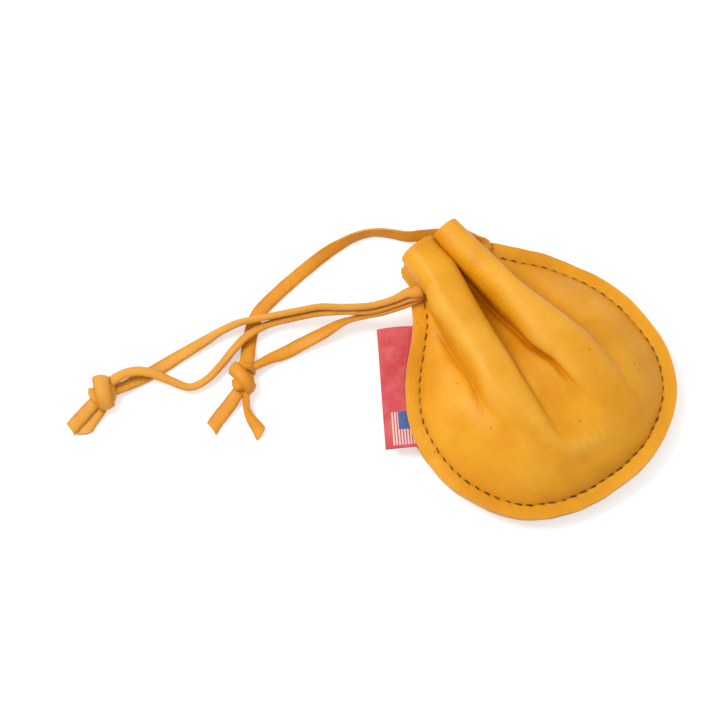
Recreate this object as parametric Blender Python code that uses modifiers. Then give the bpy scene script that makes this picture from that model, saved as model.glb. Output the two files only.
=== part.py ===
"""A soft leather drawstring pouch that lies on its back with its neck drawn shut.

Units are metres. +Z is up and +Y runs from the belly to the mouth. The pouch rests
on Z = 0, below the middle of its belly. Two leather panels are sewn face to face with
a raw edge outside the stitches, a woven label is caught in the seam, and two flat
laces gather the neck and trail away to a knot each.
"""

import math

import bmesh
import bpy
import numpy as np
from mathutils import Vector

# Leather and seam
LEATHER = 0.0012
CLEARANCE = 0.0003
SEAM_RADIUS = 0.0465
SEAM_ALLOWANCE = 0.0053
SEAM_HEIGHT = 0.0075
SEAM_TAB_ROUNDING = 0.0060
SEAM_TAB_WIDTH_SHARE = 0.45
RIM_WAVE = 0.0007
RIM_WAVES = 5

# Neck and mouth
NECK_HALF_WIDTH = 0.0150
NECK_HEIGHT = 0.0125
COLLAR_TAPER = 0.0004
SEAM_END_Y = SEAM_RADIUS + 0.0015
COLLAR_LENGTH = 0.0150
MOUTH_Y = SEAM_END_Y + COLLAR_LENGTH
NECK_RISE = 0.0018

# Belly
BELLY_RISE = 0.0175
BELLY_SHOULDER = 0.0360
BELLY_FULLNESS = 2.4
NECK_SHOULDER_CUT = 0.7
BACK_SHOULDER = 0.0200
BACK_FULLNESS = 2.2
BACK_SHOULDER_CUT = 0.6

# Folds that the drawn neck makes: crest places across the pouch, at the mouth and on the belly
RIDGE_HALF_WIDTH = 0.0088
RIDGE_TOP = 0.0295
LEFT_RIDGE_MOUTH_X = -0.0074
LEFT_RIDGE_BELLY_X = -0.0168
LEFT_RIDGE_BEND = 1.3
RIGHT_RIDGE_MOUTH_X = 0.0072
RIGHT_RIDGE_BELLY_X = 0.0158
RIGHT_RIDGE_BEND = 0.8
INNER_WIDENING = 1.15
INNER_STEEPNESS = 0.85
RIGHT_INNER_NECK_CUT = 0.0012
RIGHT_INNER_BELLY_GAIN = 0.0026
RIGHT_OUTER_CUT = 0.0024
LEFT_OUTER_CUT = 0.0026
VALLEY_TILT = 0.40
VALLEY_SLOPE_WIDTH = 0.0150
FLANK_BLEND_WIDTH = 0.0140
BASIN_DEPTH = 0.0030
BASIN_RADIUS = 0.0150
BASIN_PLACE = (-0.0005, -0.0160)
BACK_RIDGE_LOW = 0.0016
BACK_RIDGE_X = 0.0080
BACK_RIDGE_HALF_WIDTH = 0.0075
BACK_RIDGE_DRAWN = 0.7

# Where each shape of the skin starts and is complete, along the pouch in Y
SEAM_CLIMB_START_Y = SEAM_END_Y - 0.0220
RIDGE_START_Y = -0.0240
RIDGE_FULL_Y = SEAM_END_Y - 0.0300
INNER_STEEP_START_Y = -0.0260
INNER_STEEP_FULL_Y = 0.0140
RIGHT_NECK_CUT_START_Y = SEAM_END_Y - 0.0280
RIGHT_NECK_CUT_FULL_Y = SEAM_END_Y - 0.0140
RIGHT_BELLY_GAIN_START_Y = SEAM_END_Y - 0.0250
RIGHT_BELLY_GAIN_FULL_Y = SEAM_END_Y - 0.0420
RIGHT_OUTER_CUT_START_Y = SEAM_END_Y - 0.0380
RIGHT_OUTER_CUT_FULL_Y = SEAM_END_Y - 0.0150
RIGHT_OUTER_CUT_FADE_Y = SEAM_END_Y - 0.0100
RIGHT_OUTER_CUT_END_Y = SEAM_END_Y - 0.0010
LEFT_OUTER_CUT_START_Y = SEAM_END_Y - 0.0500
LEFT_OUTER_CUT_FULL_Y = SEAM_END_Y - 0.0330
LEFT_OUTER_CUT_FADE_Y = SEAM_END_Y - 0.0040
LEFT_OUTER_CUT_END_Y = SEAM_END_Y + 0.0100
VALLEY_START_Y = -0.0120
VALLEY_FULL_Y = SEAM_END_Y - 0.0080
FLANK_START_Y = 0.0040
FLANK_FULL_Y = MOUTH_Y - 0.0060
NECK_START_Y = 0.0100
DRAWN_START_Y = SEAM_END_Y - 0.0360
DRAWN_FULL_Y = SEAM_END_Y - 0.0020
BACK_NECK_START_Y = SEAM_END_Y - 0.0240
BACK_RIDGE_START_Y = SEAM_END_Y - 0.0280
BACK_RIDGE_FULL_Y = SEAM_END_Y - 0.0040

# Laces
LACE_WIDTH = 0.0047
LACE_THICKNESS = 0.0013
LACE_Y = SEAM_END_Y + 0.0025
LACE_HOLE_MARGIN = 0.0004
FRONT_RUN_Z = 0.0184
RIGHT_EXIT_Z = 0.0154
TURN_X = 0.0080
LEFT_HOLE_INNER_X = -0.0105
FRONT_SLOTS_X = (-0.0100, 0.0060)
RIGHT_HOLE_INNER_X = 0.0112
BACK_SLOTS_HALF_WIDTH = 0.0070
HOLE_BEYOND_NECK = 0.0040
LEFT_RUN_END_X = -0.0167
RIGHT_RUN_END_X = 0.0172
STRAND_JOIN = 0.0013
KNOT_LENGTH = 0.0105
KNOT_WIDTH = 0.0088
KNOT_HEIGHT = 0.0074

# Label
LABEL_LENGTH = 0.0450
LABEL_WIDTH = 0.0125
LABEL_TONGUE = 0.0022
LABEL_THICKNESS = 0.00035
LABEL_FOLD_GAP = 0.0004
LABEL_DROOP = 0.0022
LABEL_ANGLE = -58.0
LABEL_SLIP = 0.0010
LABEL_RIM_INSET = 0.0082
LABEL_SPREAD_FADE = 0.0060
LABEL_SPREAD_DEPTH = (-0.0160, -0.0080)

# Mesh density
ACROSS = 36
BODY_ROWS = 20
COLLAR_ROWS = 5
SEAM_RINGS = 2
FINER = 8
WIDE_SPACING = 0.0055
CLOSE_SPACING = 0.0036
RUN_SPACING = 0.0022
LABEL_STATIONS = 12

HALF_SEAM = (LEATHER + CLEARANCE) / 2
LACE_PITCH = LACE_THICKNESS + CLEARANCE
CORNER_ANGLE = 135.0

# Sections of a fold from its crest to its foot, as shares of its half width and height:
# open on the belly, and drawn in under itself at the neck
OPEN_FOLD = (
    (0, 1),
    (0.22, 0.97),
    (0.42, 0.87),
    (0.57, 0.68),
    (0.67, 0.44),
    (0.77, 0.21),
    (0.88, 0.06),
    (1, 0),
)
DRAWN_FOLD = (
    (0, 1),
    (0.36, 0.96),
    (0.68, 0.83),
    (0.87, 0.60),
    (0.84, 0.38),
    (0.74, 0.20),
    (0.78, 0.06),
    (1, 0),
)

# The stitched outline in plan: angle from +Y in degrees, and how far it stands off SEAM_RADIUS
LEFT_SIDE = (
    (-CORNER_ANGLE, 0.0008),
    (-112.0, -0.0003),
    (-93.0, -0.0015),
    (-75.0, -0.0024),
    (-57.0, -0.0042),
    (-40.0, -0.0046),
    (-26.0, -0.0020),
)
RIGHT_SIDE = (
    (CORNER_ANGLE, 0.0003),
    (115.0, -0.0004),
    (95.0, -0.0026),
    (75.0, -0.0032),
    (58.0, -0.0029),
    (43.0, -0.0018),
    (29.0, -0.0003),
)
BOTTOM = (
    (-CORNER_ANGLE, 0.0008),
    (-157.0, -0.0009),
    (-178.0, -0.0022),
    (-201.0, -0.0010),
    (CORNER_ANGLE - 360.0, 0.0003),
)

LEATHER_COLOUR = (0.745, 0.352, 0.030, 1.0)
LACE_COLOUR = (0.680, 0.270, 0.020, 1.0)
LABEL_COLOUR = (0.560, 0.040, 0.048, 1.0)


def smoothstep(low, high, value):
    """0 at low, 1 at high and an S curve between."""
    share = np.clip((value - low) / (high - low), 0.0, 1.0)
    return share * share * (3.0 - 2.0 * share)


def plan_point(angle, radius):
    """The plan point at an angle in degrees from +Y, clockwise seen from above."""
    return (radius * math.sin(math.radians(angle)), radius * math.cos(math.radians(angle)))


def smooth_path(points, count):
    """A smooth curve through the points, cut into count equal lengths."""
    points = np.array(points, float)
    padded = np.vstack([2 * points[0] - points[1], points, 2 * points[-1] - points[-2]])
    steps = np.linspace(0.0, 1.0, 24, endpoint=False)[:, None]
    fine = []
    for a, b, c, d in zip(padded, padded[1:], padded[2:], padded[3:]):
        bend = (2 * a - 5 * b + 4 * c - d) * steps**2 + (3 * b - a - 3 * c + d) * steps**3
        fine.append(b + 0.5 * ((c - a) * steps + bend))
    return cut_evenly(np.vstack(fine + [points[-1:]]), count)


def cut_evenly(line, count):
    """The line's points again, moved along it until they cut it into count equal lengths."""
    along = np.concatenate([[0.0], np.cumsum(np.linalg.norm(np.diff(line, axis=0), axis=1))])
    wanted = np.linspace(0.0, along[-1], count + 1)
    return np.column_stack([np.interp(wanted, along, column) for column in line.T])


def seam_z(y):
    """Height of the plane between the two panels, which climbs towards the neck."""
    return SEAM_HEIGHT + (NECK_HEIGHT - SEAM_HEIGHT) * smoothstep(SEAM_CLIMB_START_Y, SEAM_END_Y, y)


def seam_level(x, y, outside):
    """Height of the seam at a plan point: its raw edge, outside the stitches, waves a little."""
    share = np.clip(outside / SEAM_ALLOWANCE, 0.0, 1.0)
    return seam_z(y) + RIM_WAVE * share * np.sin(RIM_WAVES * np.arctan2(x, y))


def side_path(side, sign):
    """One side of a panel in plan: the sewn part up to the seam's end, then the collar."""
    end = (sign * NECK_HALF_WIDTH, SEAM_END_Y)
    sewn = [plan_point(angle, SEAM_RADIUS + off) for angle, off in side] + [end]
    collar = [end, (sign * (NECK_HALF_WIDTH - COLLAR_TAPER), MOUTH_Y)]
    return np.vstack([smooth_path(sewn, BODY_ROWS), cut_evenly(np.array(collar), COLLAR_ROWS)[1:]])


LEFT_PATH = side_path(LEFT_SIDE, -1)
RIGHT_PATH = side_path(RIGHT_SIDE, 1)
BOTTOM_FINE = smooth_path([plan_point(a, SEAM_RADIUS + off) for a, off in BOTTOM], FINER * ACROSS)
BOTTOM_PATH = BOTTOM_FINE[::FINER]
EDGE = np.vstack([LEFT_PATH[::-1], BOTTOM_FINE[FINER:-FINER:FINER], RIGHT_PATH])


def edge_distance(x, y):
    """How far plan points lie from the nearest side or stitch line of the panel."""
    start, end = EDGE[:-1], EDGE[1:]
    run = end - start
    to = np.stack([x, y], axis=-1)[..., None, :] - start
    share = np.clip((to * run).sum(-1) / (run * run).sum(-1), 0.0, 1.0)
    return np.linalg.norm(to - share[..., None] * run, axis=-1).min(-1)


def row_plan(row):
    """Fine plan points along one row of the panel, from its left side to its right."""
    share = np.linspace(0.0, 1.0, FINER * ACROSS + 1)[:, None]
    up = row / (BODY_ROWS + COLLAR_ROWS)
    top = LEFT_PATH[-1] + (RIGHT_PATH[-1] - LEFT_PATH[-1]) * share
    between = (1 - share) * LEFT_PATH[row] + share * RIGHT_PATH[row]
    corners = (1 - share) * ((1 - up) * LEFT_PATH[0] + up * LEFT_PATH[-1]) + share * (
        (1 - up) * RIGHT_PATH[0] + up * RIGHT_PATH[-1]
    )
    return (1 - up) * BOTTOM_FINE + up * top + between - corners


def crest_x(mouth_x, belly_x, bend, y):
    """Where a fold's crest runs at a given place along the pouch."""
    return belly_x + (mouth_x - belly_x) * np.clip(y / MOUTH_Y, 0.0, 1.0) ** bend


def fold(x, crest, half_left, half_right, drawn):
    """A fold's height share from 0 to 1, and how far x moves to give it steep flanks."""
    half = np.where(x < crest, half_left, half_right)
    across = np.clip((x - crest) / half, -1.0, 1.0)
    at = np.linspace(0.0, 1.0, 41)
    sections = [smooth_path(section, 40) for section in (OPEN_FOLD, DRAWN_FOLD)]
    open_x, open_z = (np.interp(abs(across), at, column) for column in sections[0].T)
    drawn_x, drawn_z = (np.interp(abs(across), at, column) for column in sections[1].T)
    share = open_z + (drawn_z - open_z) * drawn
    moved = np.sign(across) * (open_x + (drawn_x - open_x) * drawn) - across
    return share, half * np.where(abs(across) < 1.0, moved, 0.0)


def front_surface(plan):
    """The front panel's points: a full belly with two tall folds that run up into the neck."""
    x, y = plan[:, 0], plan[:, 1]
    edge = edge_distance(x, y)
    left = crest_x(LEFT_RIDGE_MOUTH_X, LEFT_RIDGE_BELLY_X, LEFT_RIDGE_BEND, y)
    right = crest_x(RIGHT_RIDGE_MOUTH_X, RIGHT_RIDGE_BELLY_X, RIGHT_RIDGE_BEND, y)
    cut_in = smoothstep(RIGHT_NECK_CUT_START_Y, RIGHT_NECK_CUT_FULL_Y, y)
    gained = smoothstep(RIGHT_BELLY_GAIN_START_Y, RIGHT_BELLY_GAIN_FULL_Y, y)
    reach = RIDGE_HALF_WIDTH - RIGHT_INNER_NECK_CUT * cut_in + RIGHT_INNER_BELLY_GAIN * gained
    valley_x = np.maximum(right - reach, (left + right) / 2)
    valley = smoothstep(VALLEY_START_Y, VALLEY_FULL_Y, y)
    flank = smoothstep(FLANK_START_Y, FLANK_FULL_Y, y)
    slope = 1 - VALLEY_TILT * smoothstep(0.0, VALLEY_SLOPE_WIDTH, valley_x - x)
    outside = np.maximum(left - x, x - right)
    blend = smoothstep(0.0, FLANK_BLEND_WIDTH, outside)
    sunk = valley * slope + (flank - valley * slope) * blend
    rise = BELLY_RISE + (NECK_RISE - BELLY_RISE) * sunk
    neck = smoothstep(NECK_START_Y, SEAM_END_Y, y)
    shoulder = BELLY_SHOULDER * (1 - NECK_SHOULDER_CUT * neck)
    filled = 1 - (1 - np.clip(edge / shoulder, 0, 1)) ** BELLY_FULLNESS
    base = seam_z(y) + HALF_SEAM + rise * filled
    from_basin = np.hypot(x - BASIN_PLACE[0], y - BASIN_PLACE[1]) / BASIN_RADIUS
    base -= BASIN_DEPTH * np.exp(-from_basin**2)
    strength = smoothstep(RIDGE_START_Y, RIDGE_FULL_Y, y)
    drawn = smoothstep(DRAWN_START_Y, DRAWN_FULL_Y, y)
    slim_left = LEFT_OUTER_CUT * smoothstep(LEFT_OUTER_CUT_START_Y, LEFT_OUTER_CUT_FULL_Y, y)
    slim_left = slim_left * smoothstep(LEFT_OUTER_CUT_END_Y, LEFT_OUTER_CUT_FADE_Y, y)
    slim_right = RIGHT_OUTER_CUT * smoothstep(RIGHT_OUTER_CUT_START_Y, RIGHT_OUTER_CUT_FULL_Y, y)
    slim_right = slim_right * smoothstep(RIGHT_OUTER_CUT_END_Y, RIGHT_OUTER_CUT_FADE_Y, y)
    left_outer = np.minimum(RIDGE_HALF_WIDTH - slim_left, left - x[0])
    right_outer = np.minimum(RIDGE_HALF_WIDTH - slim_right, x[-1] - right)
    left_inner = np.minimum(INNER_WIDENING * RIDGE_HALF_WIDTH, valley_x - left)
    right_inner = right - valley_x
    steep = np.maximum(drawn, INNER_STEEPNESS * smoothstep(INNER_STEEP_START_Y, INNER_STEEP_FULL_Y, y))
    left_drawn = np.where(x < left, drawn, steep)
    right_drawn = np.where(x < right, steep, drawn)
    left_share, left_shift = fold(x, left, left_outer, left_inner, left_drawn)
    right_share, right_shift = fold(x, right, right_inner, right_outer, right_drawn)
    share = np.maximum(left_share, right_share) * strength
    return np.column_stack([x + left_shift + right_shift, y, base + (RIDGE_TOP - base) * share])


def back_surface(plan):
    """The back panel's points: flat where the pouch rests, with two low folds at the neck."""
    x, y = plan[:, 0], plan[:, 1]
    edge = edge_distance(x, y)
    level = seam_z(y) - HALF_SEAM
    neck = smoothstep(BACK_NECK_START_Y, SEAM_END_Y, y)
    drop = (level - LEATHER / 2) * (1 - neck) + NECK_RISE * neck
    shoulder = BACK_SHOULDER * (1 - BACK_SHOULDER_CUT * neck)
    base = level - drop * (1 - (1 - np.clip(edge / shoulder, 0, 1)) ** BACK_FULLNESS)
    strength = smoothstep(BACK_RIDGE_START_Y, BACK_RIDGE_FULL_Y, y)
    outer_left = np.minimum(BACK_RIDGE_HALF_WIDTH, -BACK_RIDGE_X - x[0])
    outer_right = np.minimum(BACK_RIDGE_HALF_WIDTH, x[-1] - BACK_RIDGE_X)
    inner = BACK_RIDGE_HALF_WIDTH
    drawn = BACK_RIDGE_DRAWN * strength
    left_share, left_shift = fold(x, -BACK_RIDGE_X, outer_left, inner, drawn)
    right_share, right_shift = fold(x, BACK_RIDGE_X, inner, outer_right, drawn)
    share = np.maximum(left_share, right_share) * strength
    return np.column_stack([x + left_shift + right_shift, y, base + (BACK_RIDGE_LOW - base) * share])


def label_place():
    """The plan point at the middle of the label, where it leaves the seam."""
    along, out = label_axes()
    rim = SEAM_RADIUS + SEAM_ALLOWANCE - LABEL_RIM_INSET
    return (out[0] * rim + along[0] * LABEL_SLIP, out[1] * rim + along[1] * LABEL_SLIP)


def seam_spread(x, y):
    """How far each panel moves aside at the seam to let the label in."""
    along, out = label_axes()
    middle = label_place()
    place = (x - middle[0]) * along[0] + (y - middle[1]) * along[1]
    window = 1 - smoothstep(LABEL_LENGTH / 2, LABEL_LENGTH / 2 + LABEL_SPREAD_FADE, abs(place))
    near = (x - middle[0]) * out[0] + (y - middle[1]) * out[1]
    stack = 2 * (LABEL_THICKNESS + CLEARANCE) + LABEL_FOLD_GAP
    return stack / 2 * window * smoothstep(*LABEL_SPREAD_DEPTH, near)


def label_axes():
    """Plan directions along the label's seam edge and out of the pouch."""
    out = plan_point(LABEL_ANGLE, 1.0)
    return (out[1], -out[0]), out


def seam_border():
    """Plan points along the stitch line, from the left seam end round to the right one."""
    left, right = LEFT_PATH[: BODY_ROWS + 1], RIGHT_PATH[: BODY_ROWS + 1]
    return np.vstack([left[::-1], BOTTOM_PATH[1:-1], right])


def seam_ring(share, side):
    """Points of the seam allowance at a share of its width, on the front (1) or back (-1)."""
    border = seam_border()
    run = np.gradient(border, axis=0)
    run /= np.linalg.norm(run, axis=1)[:, None]
    out = np.column_stack([-run[:, 1], run[:, 0]]) * -1
    along = np.concatenate([[0.0], np.cumsum(np.linalg.norm(np.diff(border, axis=0), axis=1))])
    from_end = np.clip(np.minimum(along, along[-1] - along) / SEAM_TAB_ROUNDING, 0.0, 1.0)
    rounding = np.sqrt(1 - (1 - from_end) ** 2)
    width = SEAM_ALLOWANCE * (SEAM_TAB_WIDTH_SHARE + (1 - SEAM_TAB_WIDTH_SHARE) * rounding)
    plan = border + out * (width * share)[:, None]
    level = seam_level(plan[:, 0], plan[:, 1], width * share)
    spread = seam_spread(plan[:, 0], plan[:, 1])
    return np.column_stack([plan, level + side * (HALF_SEAM + spread)])


def make_material(name, colour, roughness):
    """A plain Principled material."""
    material = bpy.data.materials.new(name)
    material.use_nodes = True
    shader = material.node_tree.nodes["Principled BSDF"]
    shader.inputs["Base Color"].default_value = colour
    shader.inputs["Roughness"].default_value = roughness
    shader.inputs["Metallic"].default_value = 0.0
    return material


def add_object(name, mesh, material, collection):
    """A new object in a collection, shaded smooth apart from its cut edges."""
    item = bpy.data.objects.new(name, mesh)
    collection.objects.link(item)
    if material:
        mesh.materials.append(material)
    if item.type == "MESH":
        mesh.shade_smooth()
        mesh.set_sharp_from_angle(angle=math.radians(50.0))
    return item


def panel(name, surface, side, material, collection):
    """One leather panel: a lofted skin, the seam allowance round it, and its thickness."""
    rows = BODY_ROWS + COLLAR_ROWS + 1
    border = seam_border()
    skin = []
    for row in range(rows):
        line = surface(row_plan(row))
        spread = seam_spread(line[:, 0], line[:, 1])
        line[:, 2] += side * spread
        skin.append(cut_evenly(line, ACROSS))
    for row in range(BODY_ROWS + 1):
        spread = seam_spread(*LEFT_PATH[row])
        skin[row][0, 2] = seam_z(LEFT_PATH[row][1]) + side * (HALF_SEAM + spread)
    mesh = bmesh.new()
    grid = [[mesh.verts.new(point) for point in line] for line in skin]
    for low, high in zip(grid, grid[1:]):
        for column in range(ACROSS):
            corners = (low[column], low[column + 1], high[column + 1], high[column])
            mesh.faces.new(corners)
    left = [grid[row][0] for row in range(BODY_ROWS, -1, -1)]
    right = [grid[row][-1] for row in range(BODY_ROWS + 1)]
    inner = left + grid[0][1:-1] + right
    for ring in range(1, SEAM_RINGS + 1):
        points = seam_ring(ring / SEAM_RINGS, side)
        outer = [mesh.verts.new(point) for point in points]
        for index in range(len(border) - 1):
            mesh.faces.new((inner[index], outer[index], outer[index + 1], inner[index + 1]))
        inner = outer
    bmesh.ops.recalc_face_normals(mesh, faces=mesh.faces)
    data = bpy.data.meshes.new(name)
    mesh.to_mesh(data)
    mesh.free()
    item = add_object(name, data, material, collection)
    thick = item.modifiers.new("Leather", "SOLIDIFY")
    thick.thickness = LEATHER
    thick.offset = 0.0
    return item


def cut_slot(item, name, low, high, cutters):
    """Cuts a box between two corners out of a panel, with the margin a lace needs."""
    mesh = bmesh.new()
    bmesh.ops.create_cube(mesh, size=1.0)
    centre = (Vector(low) + Vector(high)) / 2
    size = Vector(high) - Vector(low)
    for vert in mesh.verts:
        vert.co = Vector(a * b for a, b in zip(vert.co, size)) + centre
    data = bpy.data.meshes.new(name)
    mesh.to_mesh(data)
    mesh.free()
    cutter = add_object(name, data, None, cutters)
    cutter.hide_render = True
    cutter.display_type = "WIRE"
    hole = item.modifiers.new(name, "BOOLEAN")
    hole.operation = "DIFFERENCE"
    hole.solver = "EXACT"
    hole.object = cutter


def ribbon(name, points, material, collection, spacing=WIDE_SPACING):
    """A flat lace along a route, with its width level."""
    length = np.linalg.norm(np.diff(np.array(points), axis=0), axis=1).sum()
    route = smooth_path(points, max(3, round(length / spacing)))
    curve = bpy.data.curves.new(name, "CURVE")
    curve.dimensions = "3D"
    curve.twist_mode = "Z_UP"
    curve.bevel_depth = LACE_THICKNESS / 2
    curve.bevel_resolution = 2
    curve.extrude = (LACE_WIDTH - LACE_THICKNESS) / 2
    curve.use_fill_caps = True
    spline = curve.splines.new("POLY")
    spline.points.add(len(route) - 1)
    for point, place in zip(spline.points, route):
        point.co = (*place, 1.0)
        point.tilt = math.radians(90.0)
    return add_object(name, curve, material, collection)


def flat_run(name, points, material, collection):
    """A lace run in an upright plane across the neck, with its width along the pouch."""
    length = np.linalg.norm(np.diff(np.array(points), axis=0), axis=1).sum()
    route = smooth_path(points, max(6, round(length / RUN_SPACING)))
    curve = bpy.data.curves.new(name, "CURVE")
    curve.dimensions = "2D"
    curve.fill_mode = "NONE"
    curve.bevel_depth = LACE_THICKNESS / 2
    curve.bevel_resolution = 2
    curve.extrude = (LACE_WIDTH - LACE_THICKNESS) / 2
    curve.use_fill_caps = True
    spline = curve.splines.new("POLY")
    spline.points.add(len(route) - 1)
    for point, place in zip(spline.points, route):
        point.co = (place[0], place[1], 0.0, 1.0)
    item = add_object(name, curve, material, collection)
    item.rotation_euler = (math.radians(90.0), 0.0, 0.0)
    item.location = (0.0, LACE_Y, 0.0)
    return item


def knot(name, place, heading, material, collection):
    """An overhand knot's body, longest along its lace."""
    mesh = bmesh.new()
    bmesh.ops.create_uvsphere(mesh, u_segments=16, v_segments=10, radius=0.5)
    size = (KNOT_LENGTH, KNOT_WIDTH, KNOT_HEIGHT)
    for vert in mesh.verts:
        vert.co = Vector(a * b for a, b in zip(vert.co, size))
    data = bpy.data.meshes.new(name)
    mesh.to_mesh(data)
    mesh.free()
    item = add_object(name, data, material, collection)
    item.location = from_holes([place])[0]
    item.rotation_euler = (0.0, 0.0, math.radians(heading))
    return item


def label(name, material, collection):
    """A woven label folded in two, its ends caught between the panels."""
    along, out = label_axes()
    middle = label_place()
    half_gap = (LABEL_THICKNESS + LABEL_FOLD_GAP) / 2
    layer = [(share * (LABEL_WIDTH + LABEL_TONGUE) - LABEL_TONGUE) for share in np.linspace(0, 1, 7)]
    section = [(reach, half_gap) for reach in layer]
    section.append((LABEL_WIDTH + half_gap, 0.0))
    section += [(reach, -half_gap) for reach in reversed(layer)]
    mesh = bmesh.new()
    lines = []
    for index in range(LABEL_STATIONS + 1):
        place = (index / LABEL_STATIONS - 0.5) * LABEL_LENGTH
        line = []
        for reach, lift in section:
            x = middle[0] + along[0] * place + out[0] * reach
            y = middle[1] + along[1] * place + out[1] * reach
            outside = float(edge_distance(x, y)) if reach > 0 else 0.0
            free = max(outside - SEAM_ALLOWANCE, 0.0)
            level = float(seam_level(x, y, outside)) - LABEL_DROOP * (free / LABEL_WIDTH) ** 2
            line.append(mesh.verts.new((x, y, level + lift)))
        lines.append(line)
    for low, high in zip(lines, lines[1:]):
        for index in range(len(section) - 1):
            mesh.faces.new((low[index], low[index + 1], high[index + 1], high[index]))
    bmesh.ops.recalc_face_normals(mesh, faces=mesh.faces)
    data = bpy.data.meshes.new(name)
    mesh.to_mesh(data)
    mesh.free()
    item = add_object(name, data, material, collection)
    thick = item.modifiers.new("Weave", "SOLIDIFY")
    thick.thickness = LABEL_THICKNESS
    thick.offset = 0.0
    return item


# Routes of the free laces from just outside the neck to their knots, with Y from the lace holes
LACE_A_OVER = (
    (-0.0200, 0.0003, 0.0181),
    (-0.0270, 0.0057, 0.0148),
    (-0.0400, 0.0143, 0.0108),
    (-0.0535, 0.0232, 0.0070),
    (-0.0660, 0.0301, 0.0046),
    (-0.0740, 0.0335, 0.0044),
    (-0.0820, 0.0355, 0.0026),
    (-0.0900, 0.0366, 0.0010),
    (-0.1050, 0.0375, 0.0009),
    (-0.1140, 0.0391, 0.0010),
    (-0.1246, 0.0412, 0.0025),
)
LACE_A_UNDER = (
    (-0.0200, 0.0002, 0.0163),
    (-0.0271, 0.0042, 0.0128),
    (-0.0405, 0.0123, 0.0087),
    (-0.0540, 0.0209, 0.0050),
    (-0.0650, 0.0272, 0.0027),
    (-0.0745, 0.0283, 0.0027),
    (-0.0820, 0.0270, 0.0026),
    (-0.0890, 0.0248, 0.0012),
    (-0.0960, 0.0232, 0.0009),
    (-0.1030, 0.0250, 0.0009),
    (-0.1075, 0.0310, 0.0014),
    (-0.1115, 0.0378, 0.0030),
    (-0.1163, 0.0437, 0.0036),
    (-0.1210, 0.0453, 0.0046),
    (-0.1247, 0.0444, 0.0052),
)
LACE_B_BEHIND = (
    (0.0206, 0.0005, 0.0154),
    (0.0221, 0.0036, 0.0142),
    (0.0213, 0.0079, 0.0112),
    (0.0187, 0.0128, 0.0078),
    (0.0140, 0.0170, 0.0052),
    (0.0088, 0.0199, 0.0038),
    (0.0036, 0.0228, 0.0030),
    (-0.0020, 0.0264, 0.0022),
    (-0.0072, 0.0306, 0.0016),
    (-0.0128, 0.0345, 0.0012),
    (-0.0192, 0.0374, 0.0010),
    (-0.0285, 0.0390, 0.0009),
    (-0.0433, 0.0391, 0.0009),
    (-0.0548, 0.0369, 0.0009),
    (-0.0631, 0.0340, 0.0009),
    (-0.0700, 0.0303, 0.0009),
    (-0.0765, 0.0260, 0.0009),
    (-0.0800, 0.0228, 0.0012),
    (-0.0819, 0.0204, 0.0028),
)
LACE_B_FRONT = (
    (-0.0200, 0.0002, 0.0147),
    (-0.0288, 0.0037, 0.0104),
    (-0.0427, 0.0095, 0.0056),
    (-0.0597, 0.0147, 0.0022),
    (-0.0700, 0.0165, 0.0012),
    (-0.0792, 0.0172, 0.0030),
)
TAILS = {
    "lace_a_tail_long": ((-0.1363, 0.0422, 0.0044), (-0.1425, 0.0395, 0.0024), (-0.1492, 0.0377, 0.0009)),
    "lace_a_tail_short": ((-0.1355, 0.0375, 0.0022), (-0.1405, 0.0341, 0.0010), (-0.1452, 0.0315, 0.0009)),
    "lace_b_tail_long": ((-0.0907, 0.0133, 0.0046), (-0.0970, 0.0093, 0.0020), (-0.1064, 0.0072, 0.0009)),
    "lace_b_tail_short": ((-0.0868, 0.0111, 0.0032), (-0.0897, 0.0035, 0.0010), (-0.0921, -0.0065, 0.0009)),
}
KNOT_A_PLACE = (-0.1303, 0.0420, 0.0041)
KNOT_A_HEADING = 18.0
KNOT_B_PLACE = (-0.0855, 0.0161, 0.0041)
KNOT_B_HEADING = 40.0


def from_holes(points):
    """Route points moved along Y from the lace holes to their place."""
    return tuple((x, y + LACE_Y, z) for x, y, z in points)


def lace_levels():
    """Heights of the three strands that leave through the left hole, top one first."""
    return FRONT_RUN_Z, FRONT_RUN_Z - LACE_PITCH, FRONT_RUN_Z - 2 * LACE_PITCH


def back_run_z():
    """Height of the lace run that passes under the back panel's middle valley."""
    skin = seam_z(LACE_Y) - HALF_SEAM - NECK_RISE - LEATHER / 2
    return skin - LACE_THICKNESS / 2 - 2 * CLEARANCE


def cut_holes(front, back, cutters):
    """Cuts the holes and slots that the laces pass through."""
    top, _, bottom = lace_levels()
    half_hole = LACE_WIDTH / 2 + LACE_HOLE_MARGIN
    reach = LACE_THICKNESS / 2 + LACE_HOLE_MARGIN
    low_y, high_y = LACE_Y - half_hole, LACE_Y + half_hole
    wide = NECK_HALF_WIDTH + HOLE_BEYOND_NECK
    low = (-wide, low_y, bottom - reach)
    cut_slot(front, "left_hole", low, (LEFT_HOLE_INNER_X, high_y, top + reach), cutters)
    low = (FRONT_SLOTS_X[0], low_y, top - reach)
    cut_slot(front, "front_slots", low, (FRONT_SLOTS_X[1], high_y, top + reach), cutters)
    low = (RIGHT_HOLE_INNER_X, low_y, RIGHT_EXIT_Z - reach)
    cut_slot(front, "right_hole", low, (wide, high_y, RIGHT_EXIT_Z + reach), cutters)
    low = (-BACK_SLOTS_HALF_WIDTH, low_y, back_run_z() - reach)
    high = (BACK_SLOTS_HALF_WIDTH, high_y, back_run_z() + reach)
    cut_slot(back, "back_slots", low, high, cutters)


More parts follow.
